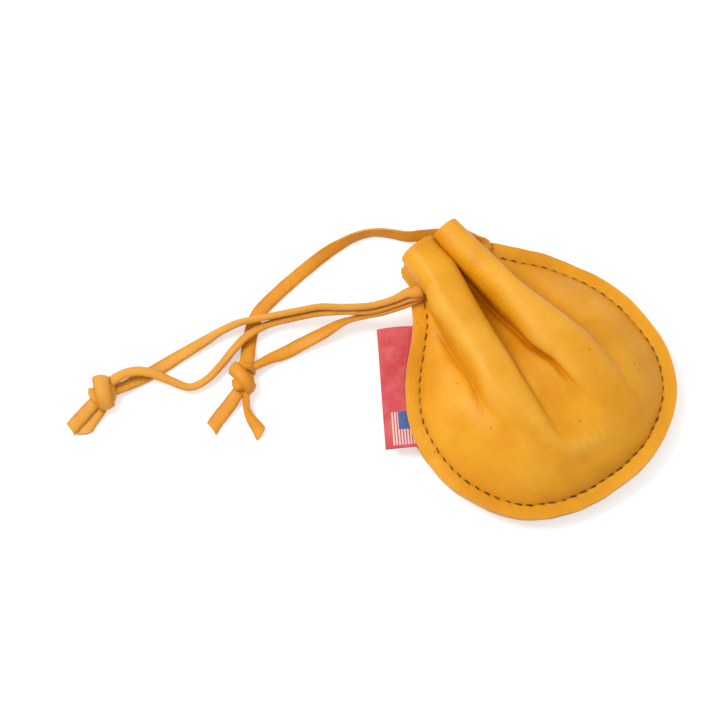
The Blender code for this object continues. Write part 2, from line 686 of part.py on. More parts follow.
def neck_route_a():
    """The first lace inside the neck: over the front's middle valley, round a turn and back."""
    top, middle, _ = lace_levels()
    return_z = seam_z(LACE_Y)
    return (
        (LEFT_RUN_END_X, top),
        (-0.0100, top),
        (0.0040, top),
        (TURN_X - 0.0010, top - 0.0004),
        (TURN_X + 0.0012, (top + return_z) / 2),
        (TURN_X - 0.0010, return_z + 0.0003),
        (0.0040, return_z),
        (-0.0050, return_z),
        (-0.0098, middle - 0.0008),
        (-0.0130, middle),
        (LEFT_RUN_END_X, middle),
    )


def neck_route_b():
    """The second lace inside the neck: down to the back's middle valley and up to the right."""
    bottom = lace_levels()[2]
    return (
        (LEFT_RUN_END_X, bottom),
        (-0.0130, bottom),
        (-0.0095, bottom - 0.0030),
        (-0.0065, back_run_z()),
        (0.0, back_run_z()),
        (0.0070, back_run_z()),
        (0.0103, RIGHT_EXIT_Z - 0.0042),
        (0.0122, RIGHT_EXIT_Z - 0.0009),
        (0.0142, RIGHT_EXIT_Z),
        (RIGHT_RUN_END_X, RIGHT_EXIT_Z),
    )


def main():
    for item in list(bpy.data.objects):
        bpy.data.objects.remove(item)
    pouch = bpy.data.collections.new("leather_drawstring_pouch")
    cutters = bpy.data.collections.new("cutters")
    bpy.context.scene.collection.children.link(pouch)
    bpy.context.scene.collection.children.link(cutters)
    leather = make_material("panel_leather", LEATHER_COLOUR, 0.45)
    lace = make_material("lace_leather", LACE_COLOUR, 0.5)
    woven = make_material("label_weave", LABEL_COLOUR, 0.85)

    front = panel("front_panel", front_surface, 1, leather, pouch)
    back = panel("back_panel", back_surface, -1, leather, pouch)
    cut_holes(front, back, cutters)
    label("side_label", woven, pouch)

    flat_run("lace_a_neck", neck_route_a(), lace, pouch)
    flat_run("lace_b_neck", neck_route_b(), lace, pouch)
    top, middle, bottom = lace_levels()
    left, right = LEFT_RUN_END_X - STRAND_JOIN, RIGHT_RUN_END_X + STRAND_JOIN
    over = from_holes(((left, 0.0, top), *LACE_A_OVER))
    under = from_holes(((left, 0.0, middle), *LACE_A_UNDER))
    behind = from_holes(((right, 0.0, RIGHT_EXIT_Z), *LACE_B_BEHIND))
    before = from_holes(((left, 0.0, bottom), *LACE_B_FRONT))
    ribbon("lace_a_strand_over", over, lace, pouch)
    ribbon("lace_a_strand_under", under, lace, pouch)
    ribbon("lace_b_strand_behind", behind, lace, pouch, spacing=CLOSE_SPACING)
    ribbon("lace_b_strand_front", before, lace, pouch)
    knot("lace_a_knot", KNOT_A_PLACE, KNOT_A_HEADING, lace, pouch)
    knot("lace_b_knot", KNOT_B_PLACE, KNOT_B_HEADING, lace, pouch)
    for name, route in TAILS.items():
        ribbon(name, from_holes(route), lace, pouch)


main()
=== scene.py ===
"""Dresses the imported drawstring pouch: two leather panels, seam thread, label and laces.

Lengths are in metres. +Z is up, +Y runs from the belly to the mouth, and the pouch
lies on Z = 0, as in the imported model.
"""

import itertools
import logging
import math
from dataclasses import dataclass, field
from enum import Enum

import bpy
import numpy as np
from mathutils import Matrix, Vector, noise


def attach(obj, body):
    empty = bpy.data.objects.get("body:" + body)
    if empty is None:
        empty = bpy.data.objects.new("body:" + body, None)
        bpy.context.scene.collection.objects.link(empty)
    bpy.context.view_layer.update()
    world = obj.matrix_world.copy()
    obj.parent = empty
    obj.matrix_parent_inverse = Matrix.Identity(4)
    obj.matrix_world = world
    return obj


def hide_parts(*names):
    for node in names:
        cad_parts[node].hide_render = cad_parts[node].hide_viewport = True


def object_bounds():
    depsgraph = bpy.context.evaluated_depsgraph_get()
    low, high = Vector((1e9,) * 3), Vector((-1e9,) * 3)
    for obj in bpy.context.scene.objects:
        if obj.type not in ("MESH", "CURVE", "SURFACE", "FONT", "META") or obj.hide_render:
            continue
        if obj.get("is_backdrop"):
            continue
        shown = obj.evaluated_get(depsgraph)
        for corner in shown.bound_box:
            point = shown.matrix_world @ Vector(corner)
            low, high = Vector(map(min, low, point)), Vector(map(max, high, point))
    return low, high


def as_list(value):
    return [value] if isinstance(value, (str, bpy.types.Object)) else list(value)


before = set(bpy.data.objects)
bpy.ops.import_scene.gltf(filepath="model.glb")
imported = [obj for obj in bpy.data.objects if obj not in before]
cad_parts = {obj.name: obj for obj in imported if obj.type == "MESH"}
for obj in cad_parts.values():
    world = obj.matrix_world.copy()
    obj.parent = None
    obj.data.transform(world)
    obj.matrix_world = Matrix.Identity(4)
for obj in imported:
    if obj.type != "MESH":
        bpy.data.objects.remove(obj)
CAD_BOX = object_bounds()

LOG = logging.getLogger("pouch")
BODY = "root"

LEATHER = 0.0012
CLEARANCE = 0.0003
HALF_SEAM = (LEATHER + CLEARANCE) / 2
LACE_WIDTH = 0.0047
LACE_THICKNESS = 0.0013
LACE_PITCH = LACE_THICKNESS + CLEARANCE
LACE_Y = 0.0505
FRONT_RUN_Z = 0.0184
RIGHT_EXIT_Z = 0.0154
STITCH_PITCH = 0.0040
# How many steps a smooth curve takes between two of its points.
CURVE_STEPS = 24
# Faces that meet at more than this many degrees show a sharp edge.
PANEL_SHARP_ANGLE = 48.0
LACE_SHARP_ANGLE = 60.0


def linear(colour: str) -> tuple[float, float, float, float]:
    """Turns an sRGB hex colour into a linear one.

    Args:
        colour: Six hex digits, such as "e0a030".

    Returns:
        Red, green, blue and an alpha of 1.
    """
    parts = [int(colour[at : at + 2], 16) / 255 for at in (0, 2, 4)]
    return (*[((p + 0.055) / 1.055) ** 2.4 if p > 0.04045 else p / 12.92 for p in parts], 1.0)


def smoothstep(low: float, high: float, value: np.ndarray | float) -> np.ndarray | float:
    """0 at low, 1 at high and an S curve between.

    Args:
        low: Where the curve leaves 0.
        high: Where the curve reaches 1.
        value: The place or places asked for.

    Returns:
        The curve's height at each place.
    """
    share = np.clip((value - low) / (high - low), 0.0, 1.0)
    return share * share * (3.0 - 2.0 * share)


def distances(line: np.ndarray) -> np.ndarray:
    """Measures how far along a line each of its points lies.

    Args:
        line: The line's points, one a row.

    Returns:
        A distance for each point, from 0 at the first.
    """
    steps = np.linalg.norm(np.diff(line[:, :3], axis=0), axis=1)
    return np.concatenate([[0.0], np.cumsum(steps)])


def cut_evenly(line: np.ndarray, count: int) -> np.ndarray:
    """Cuts a line into equal lengths.

    Args:
        line: The line's points, one a row.
        count: How many lengths are wanted.

    Returns:
        count + 1 points along the line.
    """
    along = distances(line)
    wanted = np.linspace(0.0, along[-1], count + 1)
    return np.column_stack([np.interp(wanted, along, column) for column in line.T])


def unit(vectors: np.ndarray) -> np.ndarray:
    """Makes each row of vectors one long."""
    return vectors / np.linalg.norm(vectors, axis=1)[:, None]


def about_z(angle: float) -> np.ndarray:
    """The matrix that turns by an angle in radians about Z."""
    c, s = math.cos(angle), math.sin(angle)
    return np.array([[c, -s, 0], [s, c, 0], [0, 0, 1]])


def smooth_path(points: object, count: int) -> np.ndarray:
    """Draws a smooth curve through points.

    Args:
        points: The points, each with any number of values.
        count: How many equal lengths to cut the curve into.

    Returns:
        count + 1 points along the curve.
    """
    knots = np.array(points, float)
    padded = np.vstack([2 * knots[0] - knots[1], knots, 2 * knots[-1] - knots[-2]])
    steps = np.linspace(0.0, 1.0, CURVE_STEPS, endpoint=False)[:, None]
    fine = []
    for a, b, c, d in zip(padded, padded[1:], padded[2:], padded[3:]):
        bend = (2 * a - 5 * b + 4 * c - d) * steps**2 + (3 * b - a - 3 * c + d) * steps**3
        fine.append(b + 0.5 * ((c - a) * steps + bend))
    return cut_evenly(np.vstack(fine + [knots[-1:]]), count)


def plan_point(angle: float, radius: float) -> tuple[float, float]:
    """Finds a plan point.

    Args:
        angle: Degrees from +Y, clockwise seen from above.
        radius: Distance from the middle of the belly.

    Returns:
        The point's x and y.
    """
    return (radius * math.sin(math.radians(angle)), radius * math.cos(math.radians(angle)))


def ripple(points: np.ndarray, scale: float, seed: float) -> np.ndarray:
    """Smooth noise at each point.

    Args:
        points: Points, one a row, with x, y and z.
        scale: The length of one wave in metres.
        seed: A number that picks the pattern.

    Returns:
        A value from about -1 to 1 for each point.
    """
    shift = Vector((seed, 1.7 * seed, 2.3 * seed))
    return np.array([noise.noise(Vector(point) / scale + shift) for point in points])


def connect(tree: bpy.types.NodeTree, node: bpy.types.Node, inputs: dict[str | int, object]) -> None:
    """Gives a node's inputs their values and links.

    Args:
        tree: The node tree that the node is in.
        node: The node.
        inputs: A value or an output socket for each named or numbered input.
    """
    for name, value in inputs.items():
        if isinstance(value, bpy.types.NodeSocket):
            tree.links.new(value, node.inputs[name])
        else:
            node.inputs[name].default_value = value


def add_node(
    tree: bpy.types.NodeTree, kind: str, inputs: dict[str | int, object] | None = None, **settings: object
) -> bpy.types.Node:
    """Adds a node with its settings, its values and its links.

    Args:
        tree: The node tree that takes the node.
        kind: The node's type name.
        inputs: A value or an output socket for each named or numbered input.
        settings: Properties to set on the node.

    Returns:
        The new node.
    """
    made = tree.nodes.new(kind)
    for name, value in settings.items():
        setattr(made, name, value)
    connect(tree, made, inputs or {})
    return made


@dataclass
class Shading:
    """A material in the making, with the kinds of node that the finishes share."""

    name: str
    material: bpy.types.Material = field(init=False)
    tree: bpy.types.NodeTree = field(init=False)
    shader: bpy.types.Node = field(init=False)

    def __post_init__(self) -> None:
        """Starts the material with its Principled shader."""
        self.material = bpy.data.materials.new(self.name)
        self.material.use_nodes = True
        self.tree = self.material.node_tree
        self.shader = self.tree.nodes["Principled BSDF"]

    def place(self) -> bpy.types.NodeSocket:
        """Where a point is on its object, in metres."""
        return add_node(self.tree, "ShaderNodeTexCoord").outputs["Object"]

    def clouds(
        self, place: bpy.types.NodeSocket, length: float, detail: float, distortion: float = 0.0
    ) -> bpy.types.NodeSocket:
        """Adds soft noise.

        Args:
            place: Where the noise is looked up.
            length: The length of one wave in metres.
            detail: How many finer waves lie on it.
            distortion: How far the waves are bent.

        Returns:
            The noise, from 0 to 1.
        """
        inputs = {"Vector": place, "Scale": 1 / length, "Detail": detail, "Distortion": distortion}
        return add_node(self.tree, "ShaderNodeTexNoise", inputs).outputs["Fac"]

    def cells(self, place: bpy.types.NodeSocket, length: float) -> bpy.types.NodeSocket:
        """Adds a pattern of cells.

        Args:
            place: Where the pattern is looked up.
            length: The size of one cell in metres.

        Returns:
            The distance from each cell's middle, as a share of its size.
        """
        inputs = {"Vector": place, "Scale": 1 / length}
        return add_node(self.tree, "ShaderNodeTexVoronoi", inputs).outputs["Distance"]

    def remap(
        self,
        value: bpy.types.NodeSocket,
        start: float,
        end: float,
        low: float = 0.0,
        high: float = 1.0,
    ) -> bpy.types.NodeSocket:
        """Turns one range of values into another and holds it at both ends.

        Args:
            value: The value to change.
            start: The value that gives low.
            end: The value that gives high.
            low: The new range's first value.
            high: The new range's last value.

        Returns:
            The new value.
        """
        inputs = {"Value": value, "From Min": start, "From Max": end, "To Min": low, "To Max": high}
        return add_node(self.tree, "ShaderNodeMapRange", inputs).outputs["Result"]

    def mix(self, share: object, first: object, second: object, blend: str = "MIX") -> bpy.types.NodeSocket:
        """Mixes two colours.

        Args:
            share: How much of the second colour there is, from 0 to 1.
            first: The first colour.
            second: The second colour.
            blend: How they are mixed.

        Returns:
            The mixed colour.
        """
        inputs = {"Fac": share, "Color1": first, "Color2": second}
        return add_node(self.tree, "ShaderNodeMixRGB", inputs, blend_type=blend).outputs[0]

    def reckon(self, operation: str, *values: object) -> bpy.types.NodeSocket:
        """Works one value out from others.

        Args:
            operation: What is done with them.
            values: One or two values.

        Returns:
            The result.
        """
        inputs = dict(enumerate(values))
        return add_node(self.tree, "ShaderNodeMath", inputs, operation=operation).outputs[0]

    def bump(
        self,
        height: bpy.types.NodeSocket,
        strength: float,
        depth: float,
        under: bpy.types.NodeSocket | None = None,
    ) -> bpy.types.NodeSocket:
        """Adds relief to the surface.

        Args:
            height: The relief's height, from 0 to 1.
            strength: How strongly it shows.
            depth: How deep it is in metres.
            under: Coarser relief that it lies on.

        Returns:
            The surface's direction.
        """
        inputs = {"Height": height, "Strength": strength, "Distance": depth}
        if under is not None:
            inputs["Normal"] = under
        return add_node(self.tree, "ShaderNodeBump", inputs).outputs["Normal"]

    def finish(self, inputs: dict[str, object]) -> bpy.types.Material:
        """Gives the shader its values.

        Args:
            inputs: A value or an output socket for each of the shader's inputs.

        Returns:
            The finished material.
        """
        connect(self.tree, self.shader, inputs)
        return self.material


@dataclass(frozen=True)
class GrainLeather:
    """Drum-dyed deerskin, grain side out.

    The dye gives a warm yellow with soft cloudy patches. Crests are painted paler as a
    painted highlight and hollows darker as painted shade. The grain is a fine pebble with
    a few stretch wrinkles and small dark marks.
    """

    name: str
    base: str = "de9812"
    deep: str = "d08604"
    # The hollow and lit tones are painted shade in the mesh's hollows and a painted highlight on its
    # crests.
    hollow: str = "c07806"
    lit: str = "e6ac3e"
    mark: str = "8a5410"
    roughness: tuple[float, float] = (0.38, 0.54)
    specular: float = 0.30
    cloud: float = 0.016
    sheen_patch: float = 0.006
    mark_pitch: float = 0.0095
    # Deerskin grain is about 0.5 mm, drawn at 0.9 mm so that it shows.
    pebble: float = 0.0009
    pebble_depth: float = 0.00012
    wrinkle: float = 0.0042
    wrinkle_depth: float = 0.00064
    wrinkle_stretch: tuple[float, float, float] = (1.0, 0.45, 1.0)

    def material(self) -> bpy.types.Material:
        """The finished material."""
        made = Shading(self.name)
        place = made.place()
        cloudy = made.remap(made.clouds(place, self.cloud, 5.0), 0.30, 0.60)
        colour = made.mix(cloudy, linear(self.deep), linear(self.base))
        # Painted highlight on crests and painted shade in hollows, picked by the relief attribute.
        relief = add_node(made.tree, "ShaderNodeAttribute", attribute_name="relief").outputs["Fac"]
        crest = made.remap(relief, 0.05, 1.0, high=0.75)
        hollow = made.remap(relief, -0.05, -1.0, high=0.6)
        spot = made.remap(made.cells(place, self.mark_pitch), 0.065, 0.02, high=0.55)
        for share, tone in ((crest, self.lit), (hollow, self.hollow), (spot, self.mark)):
            colour = made.mix(share, colour, linear(tone))
        rough = made.remap(made.clouds(place, self.sheen_patch, 3.0), 0.3, 0.7, *self.roughness)
        stretched = add_node(
            made.tree, "ShaderNodeMapping", {"Vector": place, "Scale": self.wrinkle_stretch}
        )
        wrinkles = made.clouds(stretched.outputs["Vector"], self.wrinkle, 6.0, distortion=0.6)
        coarse = made.bump(wrinkles, 0.55, self.wrinkle_depth)
        fine = made.bump(made.cells(place, self.pebble), 0.5, self.pebble_depth, under=coarse)
        return made.finish(
            {
                "Base Color": colour,
                "Roughness": rough,
                "IOR": 1.45,
                "Specular IOR Level": self.specular,
                "Normal": fine,
            }
        )


@dataclass(frozen=True)
class Suede:
    """The flesh side or the cut edge of the same hide: matt, paler and full of short fibres."""

    name: str
    light: str = "e3ae62"
    dark: str = "c98a35"
    # Deerskin fibres are about 0.1 mm thick, drawn at 0.5 mm so that they show.
    fibre: float = 0.0005
    fibre_depth: float = 0.0002
    patch: float = 0.005

    def material(self) -> bpy.types.Material:
        """The finished material."""
        made = Shading(self.name)
        place = made.place()
        nap = made.clouds(place, self.fibre, 4.0)
        shade = made.mix(0.5, nap, made.clouds(place, self.patch, 3.0))
        colour = made.mix(made.remap(shade, 0.35, 0.65), linear(self.dark), linear(self.light))
        bump = made.bump(nap, 0.6, self.fibre_depth)
        return made.finish(
            {"Base Color": colour, "Roughness": 0.9, "Sheen Weight": 0.25, "Normal": bump}
        )


@dataclass(frozen=True)
class BondedThread:
    """Bonded nylon sewing thread: two plies twisted together, waxed, dark olive brown."""

    name: str
    light: str = "5a4218"
    dark: str = "2c1e0a"
    # A ply turns round about once in 1.2 mm of thread.
    twist: float = 0.0012
    ply_depth: float = 0.0001

    def material(self) -> bpy.types.Material:
        """The finished material."""
        made = Shading(self.name)
        wave = add_node(
            made.tree,
            "ShaderNodeTexWave",
            {"Vector": made.place(), "Scale": 0.3 / self.twist, "Distortion": 2.0},
            bands_direction="DIAGONAL",
        )
        ply = wave.outputs["Fac"]
        # Lighter on the plies' crowns and darker in the grooves between them: painted shade, from the same
        # wave that raises the plies.
        colour = made.mix(ply, linear(self.dark), linear(self.light))
        bump = made.bump(ply, 0.5, self.ply_depth)
        return made.finish({"Base Color": colour, "Roughness": 0.5, "Normal": bump})


@dataclass(frozen=True)
class WovenLabel:
    """Polyester damask label: dense red satin weave with a small block of woven bands.

    The map "weave" runs along the label in U and out from the seam in V, in metres.
    """

    name: str
    ground: str = "cf3d45"
    worn: str = "e27a70"
    cream: str = "f0d9cc"
    blue: str = "3f5f9c"
    wear_patch: float = 0.006
    # Damask has about 4 threads a millimetre, drawn at 2.2 a millimetre so that they show.
    thread: float = 0.00045
    thread_depth: float = 0.0001
    block_low: tuple[float, float] = (-0.0215, 0.0012)
    block_high: tuple[float, float] = (-0.0092, 0.0102)
    field_low: tuple[float, float] = (-0.0158, 0.0008)
    field_high: tuple[float, float] = (-0.0092, 0.0076)
    band: float = 0.00105

    def inside(
        self,
        made: Shading,
        across: bpy.types.Node,
        low: tuple[float, float],
        high: tuple[float, float],
    ) -> bpy.types.NodeSocket:
        """Finds where the weave map is inside a rectangle.

        Args:
            made: The material in the making.
            across: The node that gives the map's two directions.
            low: The rectangle's lowest U and V.
            high: The rectangle's highest U and V.

        Returns:
            A socket that is 1 inside and 0 outside.
        """
        found = 1.0
        for name, bottom, top in zip("XY", low, high):
            above = made.reckon("GREATER_THAN", across.outputs[name], bottom)
            below = made.reckon("LESS_THAN", across.outputs[name], top)
            found = made.reckon("MULTIPLY", found, made.reckon("MULTIPLY", above, below))
        return found

    def material(self) -> bpy.types.Material:
        """The finished material."""
        made = Shading(self.name)
        weave = add_node(made.tree, "ShaderNodeUVMap", uv_map="weave").outputs["UV"]
        across = add_node(made.tree, "ShaderNodeSeparateXYZ", {"Vector": weave})
        worn = made.remap(made.clouds(weave, self.wear_patch, 4.0), 0.4, 0.75, high=0.6)
        colour = made.mix(worn, linear(self.ground), linear(self.worn))
        wave = made.reckon("MULTIPLY", across.outputs["Y"], 2 * math.pi / self.band)
        lit = made.remap(made.reckon("SINE", wave), -0.25, 0.25, high=0.9)
        block = self.inside(made, across, self.block_low, self.block_high)
        banded = made.reckon("MULTIPLY", block, lit)
        patch = self.inside(made, across, self.field_low, self.field_high)
        for share, tone in ((banded, self.cream), (patch, self.blue)):
            colour = made.mix(share, colour, linear(tone))
        bricks = add_node(
            made.tree,
            "ShaderNodeTexBrick",
            {
                "Vector": weave,
                "Scale": 1.0,
                "Mortar Size": self.thread * 0.16,
                "Brick Width": self.thread * 2,
                "Row Height": self.thread,
                "Color1": (1.0, 1.0, 1.0, 1.0),
                "Color2": (0.86, 0.86, 0.86, 1.0),
                "Mortar": (0.45, 0.45, 0.45, 1.0),
            },
        )
        threads = bricks.outputs["Color"]
        # The gaps between the threads are painted darker as painted shade, and every other thread is a
        # little darker.
        weave_shaded = made.mix(0.45, colour, threads, "MULTIPLY")
        bump = made.bump(threads, 0.5, self.thread_depth)
        return made.finish(
            {"Base Color": weave_shaded, "Roughness": 0.72, "Sheen Weight": 0.3, "Normal": bump}
        )


def mesh_object(
    name: str,
    points: np.ndarray,
    faces: list[tuple[int, ...]],
    materials: list[bpy.types.Material],
    indexes: list[int] | None = None,
) -> bpy.types.Object:
    """Makes a smooth shaded object from points and faces.

    Args:
        name: The object's name.
        points: The vertices, one a row.
        faces: The corners of each face.
        materials: The object's materials.
        indexes: Which material each face has, if not all the first.

    Returns:
        The new object, linked to the scene.
    """
    mesh = bpy.data.meshes.new(name)
    mesh.from_pydata(np.asarray(points, float).tolist(), [], faces)
    for material in materials:
        mesh.materials.append(material)
    if indexes is not None:
        mesh.polygons.foreach_set("material_index", indexes)
    mesh.shade_smooth()
    made = bpy.data.objects.new(name, mesh)
    bpy.context.scene.collection.objects.link(made)
    return made
def sheet_faces(rows: int, columns: int) -> list[tuple[int, ...]]:
    """Joins rows of points into a sheet.

    Args:
        rows: How many rows there are.
        columns: How many points each row has.

    Returns:
        The corners of each face.
    """
    faces = []
    for row in range(rows - 1):
        for at in range(row * columns, (row + 1) * columns - 1):
            faces.append((at, at + 1, at + columns + 1, at + columns))
    return faces


def tube_faces(rings: int, around: int, start: int = 0) -> list[tuple[int, ...]]:
    """Joins rings of points into a tube and closes its two ends.

    Args:
        rings: How many rings there are.
        around: How many points each ring has.
        start: The number of the tube's first point.

    Returns:
        The corners of each face, the two ends last.
    """
    faces = []
    for low in range(start, start + (rings - 1) * around, around):
        for at in range(around):
            after = (at + 1) % around
            faces.append((low + at, low + after, low + around + after, low + around + at))
    last = start + (rings - 1) * around
    faces.append(tuple(range(start + around - 1, start - 1, -1)))
    faces.append(tuple(range(last, last + around)))
    return faces

def settle(item: bpy.types.Object) -> None:
    """Applies an object's modifiers to its mesh.

    Args:
        item: The object to settle.
    """
    graph = bpy.context.evaluated_depsgraph_get()
    mesh = bpy.data.meshes.new_from_object(item.evaluated_get(graph), depsgraph=graph)
    item.modifiers.clear()
    old = item.data
    item.data = mesh
    bpy.data.meshes.remove(old)
    mesh.name = item.name
    mesh.set_sharp_from_angle(angle=math.radians(PANEL_SHARP_ANGLE))


def give_point_values(item: bpy.types.Object, name: str, values: np.ndarray) -> None:
    """Stores one number a vertex, which a material can read.

    Args:
        item: The object whose mesh takes the numbers.
        name: The attribute's name.
        values: One number for each vertex.
    """
    attribute = item.data.attributes.new(name, "FLOAT", "POINT")
    attribute.data.foreach_set("value", np.asarray(values, np.float32))


@dataclass(frozen=True)
class Crease:
    """A long soft crest or hollow pressed into a panel, along a line in plan."""

    points: tuple[tuple[float, float], ...]
    height: float
    spread: float
    cuts: int = 24
    # How much of its length each end takes to fade out.
    fade: float = 0.3

    def lift(self, x: np.ndarray, y: np.ndarray) -> np.ndarray:
        """How far the crease moves the panel up.

        Args:
            x: Plan places of the panel's points.
            y: Plan places of the panel's points.

        Returns:
            The move for each point, in metres.
        """
        line = smooth_path(self.points, self.cuts)
        away = np.hypot(x[..., None] - line[:, 0], y[..., None] - line[:, 1])
        nearest = away.argmin(-1)
        share = nearest / self.cuts
        taper = smoothstep(0.0, self.fade, share) * smoothstep(0.0, self.fade, 1 - share)
        return self.height * taper * np.exp(-((away.min(-1) / self.spread) ** 2))


@dataclass
class SeamOutline:
    """The pouch's outline in plan: the stitch line, the collar's sides and the raw edge."""

    radius: float = 0.0465
    allowance: float = 0.0053
    height: float = 0.0075
    tab_rounding: float = 0.0060
    tab_share: float = 0.55
    wave: float = 0.0007
    waves: int = 5
    neck_half_width: float = 0.0150
    neck_height: float = 0.0125
    collar_taper: float = 0.0004
    end_y: float = 0.0480
    mouth_y: float = 0.0630
    climb_start_y: float = 0.0260
    body_rows: int = 104
    collar_rows: int = 24
    across: int = 190
    # How much finer the lines are drawn before they are cut, and how coarse the edge
    # is from which distances are measured.
    finer: int = 3
    sewn_cuts: int = 3000
    edge_step: int = 4
    left: tuple[tuple[float, float], ...] = (
        (-135.0, 0.0008),
        (-112.0, -0.0003),
        (-93.0, -0.0015),
        (-75.0, -0.0024),
        (-57.0, -0.0042),
        (-40.0, -0.0046),
        (-26.0, -0.0020),
    )
    right: tuple[tuple[float, float], ...] = (
        (135.0, 0.0003),
        (115.0, -0.0004),
        (95.0, -0.0026),
        (75.0, -0.0032),
        (58.0, -0.0029),
        (43.0, -0.0018),
        (29.0, -0.0003),
    )
    bottom: tuple[tuple[float, float], ...] = (
        (-135.0, 0.0008),
        (-157.0, -0.0009),
        (-178.0, -0.0022),
        (-201.0, -0.0010),
        (-225.0, 0.0003),
    )
    left_path: np.ndarray = field(init=False)
    right_path: np.ndarray = field(init=False)
    bottom_fine: np.ndarray = field(init=False)
    edge: np.ndarray = field(init=False)
    border: np.ndarray = field(init=False)
    along: np.ndarray = field(init=False)
    out: np.ndarray = field(init=False)

    def __post_init__(self) -> None:
        """Draws the lines that the sizes give."""
        left, bottom, right = self.sewn_line()
        self.left_path = self.side(left[::-1], -1)
        self.right_path = self.side(right, 1)
        self.bottom_fine = cut_evenly(bottom, self.finer * self.across)
        inner = self.bottom_fine[self.finer : -self.finer : self.finer]
        step = self.edge_step
        self.edge = np.vstack([self.left_path[::-step], inner[::step], self.right_path[::step]])
        rows = self.body_rows + 1
        self.border = np.vstack([self.left_path[:rows][::-1], inner, self.right_path[:rows]])
        run = unit(np.gradient(self.border, axis=0))
        self.out = np.column_stack([run[:, 1], -run[:, 0]])
        self.along = distances(self.border)

    def sewn_line(self) -> tuple[np.ndarray, np.ndarray, np.ndarray]:
        """Draws the whole stitch line as one smooth curve, from the neck's left end.

        Returns:
            The curve's left, bottom and right parts.
        """
        stations = [*self.left[::-1], *self.bottom[1:-1], *self.right]
        ends = [(sign * self.neck_half_width, self.end_y) for sign in (-1, 1)]
        points = [plan_point(angle, self.radius + off) for angle, off in stations]
        line = smooth_path([ends[0], *points, ends[1]], self.sewn_cuts)
        corners = [points[len(self.left) - 1], points[-len(self.right)]]
        first, last = (int(np.hypot(*(line - corner).T).argmin()) for corner in corners)
        return line[: first + 1], line[first : last + 1], line[last:]

    def side(self, sewn: np.ndarray, sign: int) -> np.ndarray:
        """Draws one side in plan: the sewn part, then the collar.

        Args:
            sewn: The sewn part, from the bottom to the neck.
            sign: -1 for the left side and 1 for the right.

        Returns:
            One point for each row of a panel.
        """
        end = (sign * self.neck_half_width, self.end_y)
        top = (sign * (self.neck_half_width - self.collar_taper), self.mouth_y)
        collar = cut_evenly(np.array([end, top]), self.collar_rows)
        return np.vstack([cut_evenly(sewn, self.body_rows), collar[1:]])

    def row(self, index: int) -> np.ndarray:
        """Draws one row of a panel in plan.

        Args:
            index: 0 for the bottom row, counting towards the mouth.

        Returns:
            Fine points from the left side to the right.
        """
        share = np.linspace(0.0, 1.0, self.finer * self.across + 1)[:, None]
        up = index / (self.body_rows + self.collar_rows)
        left, right = self.left_path, self.right_path
        top = left[-1] + (right[-1] - left[-1]) * share
        between = (1 - share) * left[index] + share * right[index]
        low = (1 - share) * left[0] + share * right[0]
        high = (1 - share) * left[-1] + share * right[-1]
        return (1 - up) * self.bottom_fine + up * top + between - (1 - up) * low - up * high

    def edge_distance(self, x: np.ndarray, y: np.ndarray) -> np.ndarray:
        """How far plan points lie from the nearest side or stitch line.

        Args:
            x: Plan places.
            y: Plan places.

        Returns:
            A distance for each point.
        """
        start, run = self.edge[:-1], np.diff(self.edge, axis=0)
        to = np.stack([x, y], axis=-1)[..., None, :] - start
        share = np.clip((to * run).sum(-1) / (run * run).sum(-1), 0.0, 1.0)
        return np.linalg.norm(to - share[..., None] * run, axis=-1).min(-1)

    def seam_z(self, y: np.ndarray | float) -> np.ndarray | float:
        """Height of the plane between the panels.

        Args:
            y: Place along the pouch.

        Returns:
            The height there.
        """
        climb = smoothstep(self.climb_start_y, self.end_y, y)
        return self.height + (self.neck_height - self.height) * climb

    def level(self, x: np.ndarray, y: np.ndarray, outside: np.ndarray) -> np.ndarray:
        """Height of the seam, whose raw edge waves a little.

        Args:
            x: Plan places.
            y: Plan places.
            outside: How far outside the stitches each point lies.

        Returns:
            The height at each point.
        """
        share = np.clip(outside / self.allowance, 0.0, 1.0)
        return self.seam_z(y) + self.wave * share * np.sin(self.waves * np.arctan2(x, y))


